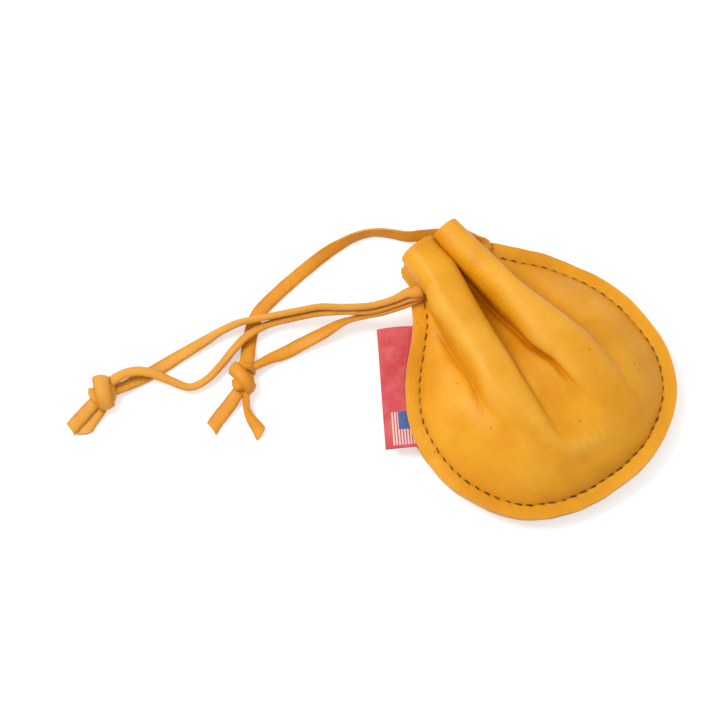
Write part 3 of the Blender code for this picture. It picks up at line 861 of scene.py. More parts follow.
@dataclass
class Label:
    """The woven label, folded in two, with its ends caught in the left seam."""

    outline: SeamOutline
    length: float = 0.0450
    width: float = 0.0125
    tongue: float = 0.0022
    thickness: float = 0.00035
    fold_gap: float = 0.0004
    droop: float = 0.0022
    curl: float = 0.0005
    curl_length: float = 0.0075
    angle: float = -58.0
    slip: float = 0.0010
    rim_inset: float = 0.0082
    spread_fade: float = 0.0060
    spread_depth: tuple[float, float] = (-0.0160, -0.0080)
    stations: int = 60
    layers: int = 20
    bend_angles: tuple[float, ...] = (0.8, 1.57, 2.34)

    def axes(self) -> tuple[np.ndarray, np.ndarray]:
        """Plan directions along the label and out of the pouch."""
        out = plan_point(self.angle, 1.0)
        return np.array([out[1], -out[0]]), np.array(out)

    def middle(self) -> np.ndarray:
        """The plan point at the middle of the label, where it leaves the seam."""
        along, out = self.axes()
        rim = self.outline.radius + self.outline.allowance - self.rim_inset
        return out * rim + along * self.slip

    def spread(self, x: np.ndarray, y: np.ndarray) -> np.ndarray:
        """How far each panel moves aside at the seam to let the label in.

        Args:
            x: Plan places.
            y: Plan places.

        Returns:
            The move for each point.
        """
        along, out = self.axes()
        middle = self.middle()
        place = (x - middle[0]) * along[0] + (y - middle[1]) * along[1]
        window = 1 - smoothstep(self.length / 2, self.length / 2 + self.spread_fade, abs(place))
        near = (x - middle[0]) * out[0] + (y - middle[1]) * out[1]
        stack = 2 * (self.thickness + CLEARANCE) + self.fold_gap
        return stack / 2 * window * smoothstep(*self.spread_depth, near)

    def section(self) -> list[tuple[float, float]]:
        """The folded strip's cross-section: how far out and how far up each point lies."""
        half = (self.thickness + self.fold_gap) / 2
        reach = np.linspace(-self.tongue, self.width, self.layers + 1)
        fold = [(self.width + half * math.sin(a), half * math.cos(a)) for a in self.bend_angles]
        return [(r, half) for r in reach] + fold + [(r, -half) for r in reach[::-1]]

    def build(self, materials: list[bpy.types.Material]) -> bpy.types.Object:
        """Makes the label.

        Args:
            materials: The woven finish.

        Returns:
            The label's object.
        """
        along, out = self.axes()
        middle = self.middle()
        section = self.section()
        points, weave = [], []
        for index in range(self.stations + 1):
            place = (index / self.stations - 0.5) * self.length
            for reach, lift in section:
                spot = middle + along * place + out * reach
                x, y = np.array([spot[0]]), np.array([spot[1]])
                outside = self.outline.edge_distance(x, y) if reach > 0 else np.zeros(1)
                free = max(float(outside[0]) - self.outline.allowance, 0.0)
                level = float(self.outline.level(x, y, outside)[0])
                level += self.curl * math.sin(place / self.curl_length) * free / self.width
                level -= self.droop * (free / self.width) ** 2
                points.append((spot[0], spot[1], level + lift))
                weave.append((place, reach))
        faces = sheet_faces(self.stations + 1, len(section))
        item = mesh_object("woven_label", np.array(points), faces, materials)
        layer = item.data.uv_layers.new(name="weave")
        for loop in item.data.loops:
            layer.data[loop.index].uv = weave[loop.vertex_index]
        thick = item.modifiers.new("Weave", "SOLIDIFY")
        thick.thickness = self.thickness
        thick.offset = 0.0
        settle(item)
        return item


class Side(Enum):
    """Which panel a skin is, as the sign of its outward direction."""

    FRONT = 1
    BACK = -1


@dataclass
class Fold:
    """One fold of the drawn neck."""

    cuts: int = 80
    # Sections from the crest to the foot, as shares of the half width and the height.
    open_section: tuple[tuple[float, float], ...] = (
        (0, 1),
        (0.22, 0.97),
        (0.42, 0.87),
        (0.57, 0.68),
        (0.67, 0.44),
        (0.77, 0.21),
        (0.88, 0.06),
        (1, 0),
    )
    drawn_section: tuple[tuple[float, float], ...] = (
        (0, 1),
        (0.38, 0.97),
        (0.72, 0.84),
        (0.92, 0.60),
        (0.88, 0.38),
        (0.78, 0.20),
        (0.80, 0.06),
        (1, 0),
    )

    def shape(
        self,
        x: np.ndarray,
        crest: np.ndarray,
        half_left: np.ndarray | float,
        half_right: np.ndarray | float,
        drawn: np.ndarray,
    ) -> tuple[np.ndarray, np.ndarray]:
        """Works out the fold's height and steep flanks across a row.

        Args:
            x: Plan places across the row.
            crest: Where the fold's crest is.
            half_left: Half width to the left of the crest.
            half_right: Half width to the right of the crest.
            drawn: 0 for an open fold and 1 for one drawn in under itself.

        Returns:
            The height share from 0 to 1, and how far x moves.
        """
        half = np.where(x < crest, half_left, half_right)
        across = np.clip((x - crest) / half, -1.0, 1.0)
        at = np.linspace(0.0, 1.0, self.cuts + 1)
        wide = [smooth_path(s, self.cuts) for s in (self.open_section, self.drawn_section)]
        open_x, open_z = (np.interp(abs(across), at, column) for column in wide[0].T)
        drawn_x, drawn_z = (np.interp(abs(across), at, column) for column in wide[1].T)
        share = open_z + (drawn_z - open_z) * drawn
        moved = np.sign(across) * (open_x + (drawn_x - open_x) * drawn) - across
        return share, half * np.where(abs(across) < 1.0, moved, 0.0)


@dataclass(frozen=True)
class SunkFoot:
    """A sharp hollow along one foot of a fold, where the leather is drawn in under it."""

    # Where it runs, as a share of the fold's half width from the crest.
    reach: float
    depth: float
    # Places along the pouch where it starts and is whole, then where it goes and is gone.
    onset_y: tuple[float, float]
    close_y: tuple[float, float]
    width: float = 0.0013

    def drop(self, x: np.ndarray, y: np.ndarray, crest: np.ndarray, half: np.ndarray) -> np.ndarray:
        """How far the hollow sinks the panel.

        Args:
            x: Plan places across the row.
            y: Plan places along the pouch.
            crest: Where the fold's crest is.
            half: The fold's half width on the foot's side.

        Returns:
            The drop at each point, in metres.
        """
        shown = smoothstep(*self.onset_y, y) * (1 - smoothstep(*self.close_y, y))
        away = (x - (crest + self.reach * half)) / self.width
        return self.depth * shown * np.exp(-(away**2))


@dataclass
class FrontSkin:
    """The front panel's surface: a full belly with two tall folds that run up the neck.

    A pair whose name ends in _y has the places along the pouch where something starts and
    where it is whole.
    """

    outline: SeamOutline
    fold: Fold = field(default_factory=Fold)
    neck_rise: float = 0.0018
    belly_rise: float = 0.0175
    belly_shoulder: float = 0.0360
    shoulder_loss: float = 0.7
    shoulder_loss_y: tuple[float, float] = (0.0100, 0.0480)
    fullness: float = 2.4
    half_width: float = 0.0088
    top: float = 0.0295
    left_crest: tuple[float, float, float] = (-0.0074, -0.0168, 1.3)
    right_crest: tuple[float, float, float] = (0.0065, 0.0158, 0.8)
    left_fold_y: tuple[float, float] = (-0.0290, 0.0140)
    right_fold_y: tuple[float, float] = (-0.0280, 0.0080)
    drawn_y: tuple[float, float] = (0.0120, 0.0460)
    steep_y: tuple[float, float] = (-0.0260, 0.0140)
    inner_widening: float = 1.15
    neck_narrowing: float = 0.0012
    neck_narrowing_y: tuple[float, float] = (0.0200, 0.0340)
    belly_widening: float = 0.0026
    belly_widening_y: tuple[float, float] = (0.0230, 0.0060)
    outer_narrowing: float = 0.0024
    outer_narrowing_y: tuple[float, float] = (0.0100, 0.0350)
    left_narrowing: float = 0.0026
    left_narrowing_y: tuple[float, float] = (-0.0020, 0.0150)
    left_narrowing_end_y: tuple[float, float] = (0.0440, 0.0580)
    valley_y: tuple[float, float] = (-0.0120, 0.0400)
    valley_tilt: float = 0.40
    valley_width: float = 0.0150
    flank_y: tuple[float, float] = (0.0040, 0.0570)
    flank_width: float = 0.0140
    basin_depth: float = 0.0030
    basin_radius: float = 0.0150
    basin_place: tuple[float, float] = (-0.0005, -0.0160)
    calm_rim: float = 0.0060
    # The right fold's inner foot, the left fold's outer foot and its inner foot.
    feet: tuple[SunkFoot, ...] = (
        SunkFoot(-0.88, 0.00256, (-0.0200, 0.0060), (0.0300, 0.0500)),
        SunkFoot(-0.90, 0.00144, (-0.0060, 0.0080), (0.0300, 0.0480)),
        SunkFoot(0.92, 0.00064, (-0.0240, 0.0040), (0.0200, 0.0400)),
    )
    creases: tuple[Crease, ...] = (
        Crease(
            (
                (-0.0175, 0.0120),
                (-0.0160, 0.0012),
                (-0.0159, -0.0061),
                (-0.0146, -0.0154),
                (-0.0131, -0.0250),
                (-0.0075, -0.0305),
                (0.0035, -0.0328),
                (0.0120, -0.0310),
            ),
            0.00150,
            0.0030,
        ),
        Crease(((-0.0120, -0.0368), (-0.0030, -0.0393), (0.0060, -0.0392)), 0.00045, 0.0016),
        Crease(((0.0250, 0.0190), (0.0290, 0.0070), (0.0270, -0.0060)), -0.0005, 0.0030),
        Crease(((-0.0290, 0.0130), (-0.0310, -0.0010), (-0.0280, -0.0150)), 0.0005, 0.0035),
    )
    def crest(self, place: tuple[float, float, float], y: np.ndarray) -> np.ndarray:
        """Where a fold's crest runs.

        Args:
            place: The crest's x at the mouth and on the belly, and how it bends between.
            y: Places along the pouch.

        Returns:
            The crest's x at each place.
        """
        mouth, belly, bend = place
        return belly + (mouth - belly) * np.clip(y / self.outline.mouth_y, 0.0, 1.0) ** bend

    def base(
        self,
        plan: np.ndarray,
        edge: np.ndarray,
        left: np.ndarray,
        right: np.ndarray,
        valley_x: np.ndarray,
    ) -> np.ndarray:
        """Height of the belly and the valleys that the folds rise from.

        Args:
            plan: Plan points from left to right.
            edge: How far each point is from the panel's sides.
            left: Where the left fold's crest is.
            right: Where the right fold's crest is.
            valley_x: Where the middle valley meets the right fold.

        Returns:
            The height at each point.
        """
        x, y = plan[:, 0], plan[:, 1]
        slope = 1 - self.valley_tilt * smoothstep(0.0, self.valley_width, valley_x - x)
        valley = smoothstep(*self.valley_y, y) * slope
        flank = smoothstep(*self.flank_y, y)
        outside = np.maximum(left - x, x - right)
        sunk = valley + (flank - valley) * smoothstep(0.0, self.flank_width, outside)
        rise = self.belly_rise + (self.neck_rise - self.belly_rise) * sunk
        loss = self.shoulder_loss * smoothstep(*self.shoulder_loss_y, y)
        shoulder = self.belly_shoulder * (1 - loss)
        filled = 1 - (1 - np.clip(edge / shoulder, 0, 1)) ** self.fullness
        from_basin = np.hypot(x - self.basin_place[0], y - self.basin_place[1]) / self.basin_radius
        basin = self.basin_depth * np.exp(-(from_basin**2))
        return self.outline.seam_z(y) + HALF_SEAM + rise * filled - basin

    def points(self, plan: np.ndarray) -> np.ndarray:
        """The surface over one row of plan points.

        Args:
            plan: Plan points from left to right.

        Returns:
            The surface's points.
        """
        x, y = plan[:, 0], plan[:, 1]
        edge = self.outline.edge_distance(x, y)
        left, right = self.crest(self.left_crest, y), self.crest(self.right_crest, y)
        reach = self.half_width - self.neck_narrowing * smoothstep(*self.neck_narrowing_y, y)
        reach = reach + self.belly_widening * smoothstep(*self.belly_widening_y, y)
        valley_x = np.maximum(right - reach, (left + right) / 2)
        slim = self.left_narrowing * smoothstep(*self.left_narrowing_y, y)
        slim = slim * (1 - smoothstep(*self.left_narrowing_end_y, y))
        narrow = self.outer_narrowing * smoothstep(*self.outer_narrowing_y, y)
        left_outer = np.minimum(self.half_width - slim, left - x[0])
        left_inner = np.minimum(self.inner_widening * self.half_width, valley_x - left)
        right_inner = right - valley_x
        right_outer = np.minimum(self.half_width - narrow, x[-1] - right)
        steep = smoothstep(*self.steep_y, y)
        left_drawn = np.where(x < left, smoothstep(*self.drawn_y, y), steep)
        right_drawn = np.where(x < right, steep, 0.0)
        share_l, shift_l = self.fold.shape(x, left, left_outer, left_inner, left_drawn)
        share_r, shift_r = self.fold.shape(x, right, right_inner, right_outer, right_drawn)
        share_l = share_l * smoothstep(*self.left_fold_y, y)
        share_r = share_r * smoothstep(*self.right_fold_y, y)
        base = self.base(plan, edge, left, right, valley_x)
        height = base + (self.top - base) * np.maximum(share_l, share_r)
        halves = ((right, right_inner), (left, left_outer), (left, left_inner))
        for foot, (crest, half) in zip(self.feet, halves):
            height = height - foot.drop(x, y, crest, half)
        calm = smoothstep(0.0, self.calm_rim, edge)
        for crease in self.creases:
            height = height + crease.lift(x, y) * calm
        return np.column_stack([x + shift_l + shift_r, y, height])


@dataclass
class BackSkin:
    """The back panel's surface: flat where the pouch rests, two low folds at the neck."""

    outline: SeamOutline
    fold: Fold = field(default_factory=Fold)
    neck_rise: float = 0.0018
    neck_y: tuple[float, float] = (0.0240, 0.0480)
    shoulder: float = 0.0200
    shoulder_loss: float = 0.6
    fullness: float = 2.2
    low: float = 0.0016
    crest_x: float = 0.0080
    half_width: float = 0.0075
    fold_y: tuple[float, float] = (0.0200, 0.0440)
    tuck: float = 0.7

    def points(self, plan: np.ndarray) -> np.ndarray:
        """The surface over one row of plan points.

        Args:
            plan: Plan points from left to right.

        Returns:
            The surface's points.
        """
        x, y = plan[:, 0], plan[:, 1]
        line = self.outline
        edge = line.edge_distance(x, y)
        level = line.seam_z(y) - HALF_SEAM
        neck = smoothstep(*self.neck_y, y)
        drop = (level - LEATHER / 2) * (1 - neck) + self.neck_rise * neck
        shoulder = self.shoulder * (1 - self.shoulder_loss * neck)
        base = level - drop * (1 - (1 - np.clip(edge / shoulder, 0, 1)) ** self.fullness)
        strength = smoothstep(*self.fold_y, y)
        outer_left = np.minimum(self.half_width, -self.crest_x - x[0])
        outer_right = np.minimum(self.half_width, x[-1] - self.crest_x)
        drawn = self.tuck * strength
        crests = np.full_like(x, self.crest_x)
        share_l, shift_l = self.fold.shape(x, -crests, outer_left, self.half_width, drawn)
        share_r, shift_r = self.fold.shape(x, crests, self.half_width, outer_right, drawn)
        share = np.maximum(share_l, share_r) * strength
        height = base + (self.low - base) * share
        return np.column_stack([x + shift_l + shift_r, y, height])


@dataclass
class Panel:
    """One leather panel: its skin, the seam allowance round it, and its thickness."""

    name: str
    side: Side
    skin: FrontSkin | BackSkin
    outline: SeamOutline
    label: Label
    rings: int = 10
    # How much closer the outer lines of the seam allowance lie than the inner ones.
    ring_crowding: float = 1.25
    groove: float = 0.00028
    groove_width: float = 0.0009
    pucker: float = 0.00009
    pucker_width: float = 0.0022
    tab_reach: float = 0.0020
    tab_curl: float = 0.0012
    ragged_depth: float = 0.00022
    ragged_length: float = 0.006
    ripple_height: float = 0.00022
    ripple_length: float = 0.016
    small_ripple_share: float = 0.35
    small_ripple_length: float = 0.0055
    # Distances from the stitches, and heights above the ground, where ripples start.
    ripple_inset: tuple[float, float] = (0.002, 0.012)
    ripple_lift: tuple[float, float] = (0.0006, 0.0030)
    smoothing_passes: int = 2
    relief_passes: int = 60
    relief_height: float = 0.0016
    # The seam allowance's relief from the stitches to the raw edge, which paints it paler towards the raw
    # edge as a painted highlight.
    rim_highlight: tuple[float, float] = (-0.1, 0.35)
    # What picks the pattern of the raw edge and of both sizes of ripple.
    seeds: tuple[float, float, float] = (3.0, 5.0, 9.0)

    def puckered(self, distance: np.ndarray, along: np.ndarray) -> np.ndarray:
        """How far the pull of the stitches sinks the leather.

        Args:
            distance: How far each point is from the stitch line.
            along: Where each point is along the stitch line.

        Returns:
            The depth at each point.
        """
        pull = np.cos(2 * math.pi * along / STITCH_PITCH)
        groove = self.groove * np.exp(-((distance / self.groove_width) ** 2))
        return groove + self.pucker * pull * np.exp(-((distance / self.pucker_width) ** 2))

    def nearest(self, points: np.ndarray) -> tuple[np.ndarray, np.ndarray]:
        """Finds where plan points are beside the stitch line.

        Args:
            points: Points, one a row.

        Returns:
            Distance from the stitch line, and place along it.
        """
        away = np.linalg.norm(points[:, None, :2] - self.outline.border[None, ::2], axis=2)
        at = away.argmin(1)
        return away.min(1), self.outline.along[::2][at]

    def ring(self, share: float) -> np.ndarray:
        """One line of the seam allowance.

        Args:
            share: How far out it is, from 0 at the stitches to 1 at the raw edge.

        Returns:
            The line's points.
        """
        line = self.outline
        along = line.along
        from_end = np.clip(np.minimum(along, along[-1] - along) / line.tab_rounding, 0.0, 1.0)
        rounding = np.sqrt(1 - (1 - from_end) ** 2)
        width = line.allowance * (line.tab_share + (1 - line.tab_share) * rounding)
        spots = np.column_stack([line.border, 0 * along])
        ragged = ripple(spots, self.ragged_length, self.seeds[0] + self.side.value)
        width = width + self.ragged_depth * share * ragged
        plan = line.border + line.out * (width * share)[:, None]
        level = line.level(plan[:, 0], plan[:, 1], width * share)
        tab = share * (1 - from_end) ** 2
        plan[:, 1] += self.tab_reach * tab
        level = level + self.tab_curl * tab
        spread = self.label.spread(plan[:, 0], plan[:, 1])
        sunk = self.puckered(width * share, along)
        return np.column_stack([plan, level + self.side.value * (HALF_SEAM + spread - sunk)])

    def grid(self) -> np.ndarray:
        """The skin's points in rows, from the bottom to the mouth."""
        line, sign = self.outline, self.side.value
        rows = []
        for index in range(line.body_rows + line.collar_rows + 1):
            points = self.skin.points(line.row(index))
            points[:, 2] += sign * self.label.spread(points[:, 0], points[:, 1])
            rows.append(cut_evenly(points, line.across))
        for index in range(line.body_rows + 1):
            x, y = line.left_path[index]
            spread = float(self.label.spread(x, y))
            rows[index][0, 2] = line.seam_z(y) + sign * (HALF_SEAM + spread)
        made = np.array(rows)
        for _ in range(self.smoothing_passes):
            inner = made[1:-1, 1:-1]
            around = made[:-2, 1:-1] + made[2:, 1:-1] + made[1:-1, :-2] + made[1:-1, 2:]
            made[1:-1, 1:-1] = (inner + around / 4) / 2
        flat = made.reshape(-1, 3)
        distance, along = self.nearest(flat)
        sewn = np.repeat(np.arange(len(made)) <= line.body_rows, made.shape[1])
        sunk = self.puckered(distance, along) * sewn
        wavy = smoothstep(*self.ripple_inset, distance)
        if self.side is Side.BACK:
            wavy = wavy * smoothstep(*self.ripple_lift, flat[:, 2])
        large = ripple(flat, self.ripple_length, self.seeds[1] + sign)
        small = ripple(flat, self.small_ripple_length, self.seeds[2] + sign)
        soft = large + self.small_ripple_share * small
        flat[:, 2] += sign * (self.ripple_height * soft * wavy - sunk)
        return flat.reshape(made.shape)

    def relief(self, grid: np.ndarray) -> np.ndarray:
        """How far each point stands out from the leather round it, from -1 to 1.

        Args:
            grid: The skin's points in rows.

        Returns:
            The value at each point.
        """
        height = grid[:, :, 2] * self.side.value
        soft = height.copy()
        for _ in range(self.relief_passes):
            soft = np.pad(soft, 1, mode="edge")
            soft = (soft[:-2, 1:-1] + soft[2:, 1:-1] + soft[1:-1, :-2] + soft[1:-1, 2:]) / 4
        return np.clip((height - soft) / self.relief_height, -1.0, 1.0)

    def build(self, materials: list[bpy.types.Material]) -> bpy.types.Object:
        """Makes the panel.

        Args:
            materials: The grain side, the flesh side and the cut edge.

        Returns:
            The panel's object, with its holes still to be cut.
        """
        line = self.outline
        grid = self.grid()
        rows, columns = grid.shape[:2]
        points = [grid.reshape(-1, 3)]
        relief = [self.relief(grid).ravel()]
        faces = sheet_faces(rows, columns)
        left = [row * columns for row in range(line.body_rows, -1, -1)]
        right = [row * columns + columns - 1 for row in range(line.body_rows + 1)]
        inner = left + list(range(1, columns - 1)) + right
        count = rows * columns
        low, high = self.rim_highlight
        for ring in range(1, self.rings + 1):
            share = min(1.0, 1.0 - (1 - ring / self.rings) ** self.ring_crowding)
            points.append(self.ring(share))
            relief.append(np.full(len(inner), low + high * share))
            outer = list(range(count, count + len(inner)))
            count += len(inner)
            for at in range(len(inner) - 1):
                faces.append((inner[at], outer[at], outer[at + 1], inner[at + 1]))
            inner = outer
        if self.side is Side.BACK:
            faces = [face[::-1] for face in faces]
        item = mesh_object(self.name, np.vstack(points), faces, materials)
        # The relief picks where the grain finish paints a highlight on crests and shade in hollows.
        give_point_values(item, "relief", np.concatenate(relief))
        thick = item.modifiers.new("Leather", "SOLIDIFY")
        thick.thickness = LEATHER
        thick.offset = 0.0
        thick.material_offset = 1
        thick.material_offset_rim = 2
        return item


@dataclass
class LaceHoles:
    """The slits that the laces pass through, cut out of both panels."""

    outline: SeamOutline
    margin: float = 0.0004
    left_inner_x: float = -0.0105
    front_x: tuple[float, float] = (-0.0100, 0.0060)
    right_inner_x: float = 0.0112
    back_half_width: float = 0.0070
    beyond: float = 0.0040
    rounding: float = 0.0006
    gape: float = 0.0014

    def back_run_z(self) -> float:
        """Height of the lace run under the back panel's middle valley."""
        skin = self.outline.seam_z(LACE_Y) - HALF_SEAM - BackSkin.neck_rise - LEATHER / 2
        return float(skin - LACE_THICKNESS / 2 - 2 * CLEARANCE)

    def boxes(self) -> dict[Side, list[tuple[tuple[float, ...], tuple[float, ...]]]]:
        """The lowest and highest corner of each slit, for each panel."""
        half = LACE_WIDTH / 2 + self.margin
        reach = LACE_THICKNESS / 2 + self.margin
        low, high = LACE_Y - half, LACE_Y + half
        wide = self.outline.neck_half_width + self.beyond
        bottom = FRONT_RUN_Z - 2 * LACE_PITCH - reach
        top = FRONT_RUN_Z + reach
        back, side = self.back_run_z(), self.back_half_width
        return {
            Side.FRONT: [
                ((-wide, low - self.gape, bottom), (self.left_inner_x, high, top)),
                ((self.front_x[0], low, FRONT_RUN_Z - reach), (self.front_x[1], high, top)),
                ((self.right_inner_x, low, RIGHT_EXIT_Z - reach), (wide, high, RIGHT_EXIT_Z + reach)),
            ],
            Side.BACK: [((-side, low, back - reach), (side, high, back + reach))],
        }

    def cut(self, item: bpy.types.Object, side: Side) -> None:
        """Cuts a panel's slits and settles its mesh.

        Args:
            item: The panel.
            side: Which panel it is.
        """
        cutters = []
        faces = [(0, 1, 3, 2), (4, 6, 7, 5), (0, 4, 5, 1), (2, 3, 7, 6), (0, 2, 6, 4), (1, 5, 7, 3)]
        for box in self.boxes()[side]:
            corners = np.array(list(itertools.product(*zip(*box))))
            cutter = mesh_object("slit", corners, faces, [])
            rounded = cutter.modifiers.new("Rounding", "BEVEL")
            rounded.width = self.rounding
            rounded.segments = 3
            cutters.append(cutter)
            hole = item.modifiers.new("Slit", "BOOLEAN")
            hole.operation = "DIFFERENCE"
            hole.solver = "EXACT"
            hole.object = cutter
        settle(item)
        for cutter in cutters:
            bpy.data.objects.remove(cutter)


@dataclass
class SeamThread:
    """The stitches that show on both sides of the seam."""

    outline: SeamOutline
    label: Label
    length: float = 0.0030
    length_spread: float = 0.06
    thickness: float = 0.00070
    dip: float = 0.00045
    # How deep the thread presses the leather, and how far its middle stands above that.
    bite: float = 0.00012
    stand: float = 0.40
    sway: float = 0.00012
    slant: float = 0.00026
    # How much thinner a stitch gets towards its ends, and its least share there.
    thinning: float = 0.8
    least: float = 0.05
    around: int = 8
    stations: int = 9
    seed: int = 7

    def ring(self, side: Side, along: float, step: float, sway: float) -> np.ndarray:
        """One ring of points round a stitch.

        Args:
            side: Which side of the seam the stitch shows on.
            along: Where the ring is along the stitch line.
            step: Where the ring is along the stitch, from -1 to 1.
            sway: How far out of the stitch line the stitch lies.

        Returns:
            The ring's points.
        """
        line = self.outline
        spot = np.array([np.interp(along, line.along, column) for column in line.border.T])
        out = np.array([np.interp(along, line.along, column) for column in line.out.T])
        spot = spot + out * (sway + self.slant * step)
        level = float(line.seam_z(spot[1])) + side.value * float(self.label.spread(*spot))
        radius = self.thickness / 2 * math.sqrt(max(1.0 - self.thinning * step**4, self.least))
        over = HALF_SEAM + LEATHER / 2 - self.bite + self.stand * self.thickness / 2
        height = level + side.value * (over - self.dip * abs(step) ** 3)
        turn = np.linspace(0.0, 2 * math.pi, self.around, endpoint=False)
        plan = spot + np.outer(radius * np.cos(turn), out)
        return np.column_stack([plan, height + radius * np.sin(turn)])

    def build(self, materials: list[bpy.types.Material]) -> bpy.types.Object:
        """Makes the stitches.

        Args:
            materials: The thread's finish.

        Returns:
            One object with every stitch.
        """
        count = int(self.outline.along[-1] / STITCH_PITCH)
        draw = np.random.default_rng(self.seed)
        rings, faces = [], []
        for side in Side:
            for number in range(count):
                middle = (number + 0.5) * STITCH_PITCH
                long = self.length * (1 + self.length_spread * draw.standard_normal())
                sway = self.sway * draw.standard_normal()
                faces += tube_faces(self.stations, self.around, len(rings) * self.around)
                for step in np.linspace(-1.0, 1.0, self.stations):
                    rings.append(self.ring(side, middle + step * long / 2, step, sway))
        return mesh_object("seam_stitches", np.vstack(rings), faces, materials)


@dataclass
class Strip:
    """A flat strip of lace along a path, with its own width, roll and curl all along."""

    name: str
    path: np.ndarray
    sides: np.ndarray
    widths: np.ndarray
    curls: np.ndarray
    thickness: float = LACE_THICKNESS
    seed: float = 1.0
    raggedness: float = 0.05
    ragged_length: float = 0.0035
    unevenness: float = 0.08
    uneven_length: float = 0.0060
    # Painted highlight and shade: how much paler the middle of the strip is, and how fast that falls to its
    # edges.
    crown_highlight_and_shade: tuple[float, float] = (0.9, 1.5)
    # The section beyond this share of the half width is the cut edge.
    face_share: float = 0.95
    # Cross-section of the strip from one edge round to the other, as shares of its half
    # width and half thickness.
    section: tuple[tuple[float, float], ...] = (
        (-1.0, -0.35),
        (-0.975, -0.80),
        (-0.90, -1.0),
        (-0.6, -1.0),
        (-0.3, -1.0),
        (0.0, -1.0),
        (0.3, -1.0),
        (0.6, -1.0),
        (0.90, -1.0),
        (0.975, -0.80),
        (1.0, -0.35),
        (1.0, 0.35),
        (0.975, 0.80),
        (0.90, 1.0),
        (0.6, 1.03),
        (0.3, 1.06),
        (0.0, 1.08),
        (-0.3, 1.06),
        (-0.6, 1.03),
        (-0.90, 1.0),
        (-0.975, 0.80),
        (-1.0, 0.35),
    )

    def build(self, materials: list[bpy.types.Material]) -> bpy.types.Object:
        """Makes the strip.

        Args:
            materials: The grain side, the flesh side and the cut edge.

        Returns:
            The strip's object.
        """
        run = unit(np.gradient(self.path, axis=0))
        across = unit(self.sides - (self.sides * run).sum(1)[:, None] * run)
        up = np.cross(across, run)
        section = np.array(self.section)
        ragged = [ripple(self.path, self.ragged_length, self.seed + k) for k in (0.0, 11.0)]
        uneven = ripple(self.path, self.uneven_length, self.seed + 23.0)
        points = []
        for at, centre in enumerate(self.path):
            half = self.widths[at] / 2
            edge = 1 + self.raggedness * np.where(section[:, 0] < 0, ragged[0][at], ragged[1][at])
            wide = section[:, 0] * half * edge
            lift = section[:, 1] * (self.thickness / 2 * (1 + self.unevenness * uneven[at]))
            curl = self.curls[at]
            if abs(curl) > 1e-3:
                bend = half / curl
                angle = wide / bend
                wide, lift = (bend - lift) * np.sin(angle), bend - (bend - lift) * np.cos(angle)
                lift = lift - bend * (1 - math.sin(curl) / curl)
            points.append(centre + np.outer(wide, across[at]) + np.outer(lift, up[at]))
        # The middle of the grain side is painted paler as a highlight and its edges darker as shade.
        high, fall = self.crown_highlight_and_shade
        relief = [np.clip(high - fall * abs(section[:, 0]) ** 3, -1.0, 1.0)] * len(points)
        band = []
        for here, after in zip(section, np.roll(section, -1, axis=0)):
            flat = min(abs(here[0]), abs(after[0])) < self.face_share
            band.append((0 if here[1] > 0 else 1) if flat else 2)
        faces = tube_faces(len(points), len(section))
        indexes = band * (len(points) - 1) + [2, 2]
        item = mesh_object(self.name, np.vstack(points), faces, materials, indexes)
        give_point_values(item, "relief", np.concatenate(relief))
        item.data.set_sharp_from_angle(angle=math.radians(LACE_SHARP_ANGLE))
        return item


@dataclass
class FreeStrand:
    """A free length of lace from a hole to a knot.

    Each route point has x, y from the lace holes, z, the roll in degrees from lying flat,
    the width as a share of the lace's, and the curl across in degrees.
    """

    name: str
    route: tuple[tuple[float, ...], ...]
    spacing: float = 0.0008
    seed: float = 1.0

    def lay(self) -> tuple[np.ndarray, np.ndarray, np.ndarray, np.ndarray]:
        """Lays the strand: its path, side directions, widths and curls."""
        values = np.array(self.route, float)
        values = smooth_path(values, round(distances(values)[-1] / self.spacing))
        path = values[:, :3] + np.array([0.0, LACE_Y, 0.0])
        roll, width = np.radians(values[:, 3]), values[:, 4] * LACE_WIDTH
        curl = -np.radians(values[:, 5])
        half = width / 2 * abs(np.sin(roll)) + LACE_THICKNESS / 2 * np.cos(roll)
        half = half + width / 2 * np.sin(abs(curl) / 3) * np.cos(roll)
        path[:, 2] = np.maximum(path[:, 2], half + 0.0001)
        run = unit(np.gradient(path, axis=0))
        level = unit(np.cross(run, [0.0, 0.0, 1.0]))
        up = np.cross(level, run)
        sides = level * np.cos(roll)[:, None] + up * np.sin(roll)[:, None]
        return path, sides, width, curl

    def build(self, materials: list[bpy.types.Material]) -> tuple[bpy.types.Object, np.ndarray]:
        """Makes the strand.

        Args:
            materials: The grain side, the flesh side and the cut edge.

        Returns:
            The strand's object and the path that it follows.
        """
        path, sides, width, curl = self.lay()
        strip = Strip(self.name, path, sides, width, curl, seed=self.seed)
        return strip.build(materials), path


@dataclass
class NeckRun:
    """A lace inside the neck, which lies in an upright plane with its width along Y."""

    name: str
    route: tuple[tuple[float, float], ...]
    spacing: float = 0.0006
    seed: float = 4.0

    def build(self, materials: list[bpy.types.Material]) -> bpy.types.Object:
        """Makes the run.

        Args:
            materials: The grain side, the flesh side and the cut edge.

        Returns:
            The run's object.
        """
        flat = np.array([(x, LACE_Y, z) for x, z in self.route])
        path = smooth_path(flat, round(distances(flat)[-1] / self.spacing))
        sides = np.tile([0.0, 1.0, 0.0], (len(path), 1))
        width = np.full(len(path), LACE_WIDTH)
        strip = Strip(self.name, path, sides, width, np.zeros(len(path)), seed=self.seed)
        return strip.build(materials)


@dataclass(frozen=True)
class Wrap:
    """One band of lace round a knot.

    Angles are in degrees, layer counts lace thicknesses above the core, shift is along the
    lace and width is a share of the lace's.
    """

    tilt: float
    lean: float
    start: float
    sweep: float
    layer: float
    shift: float
    width: float


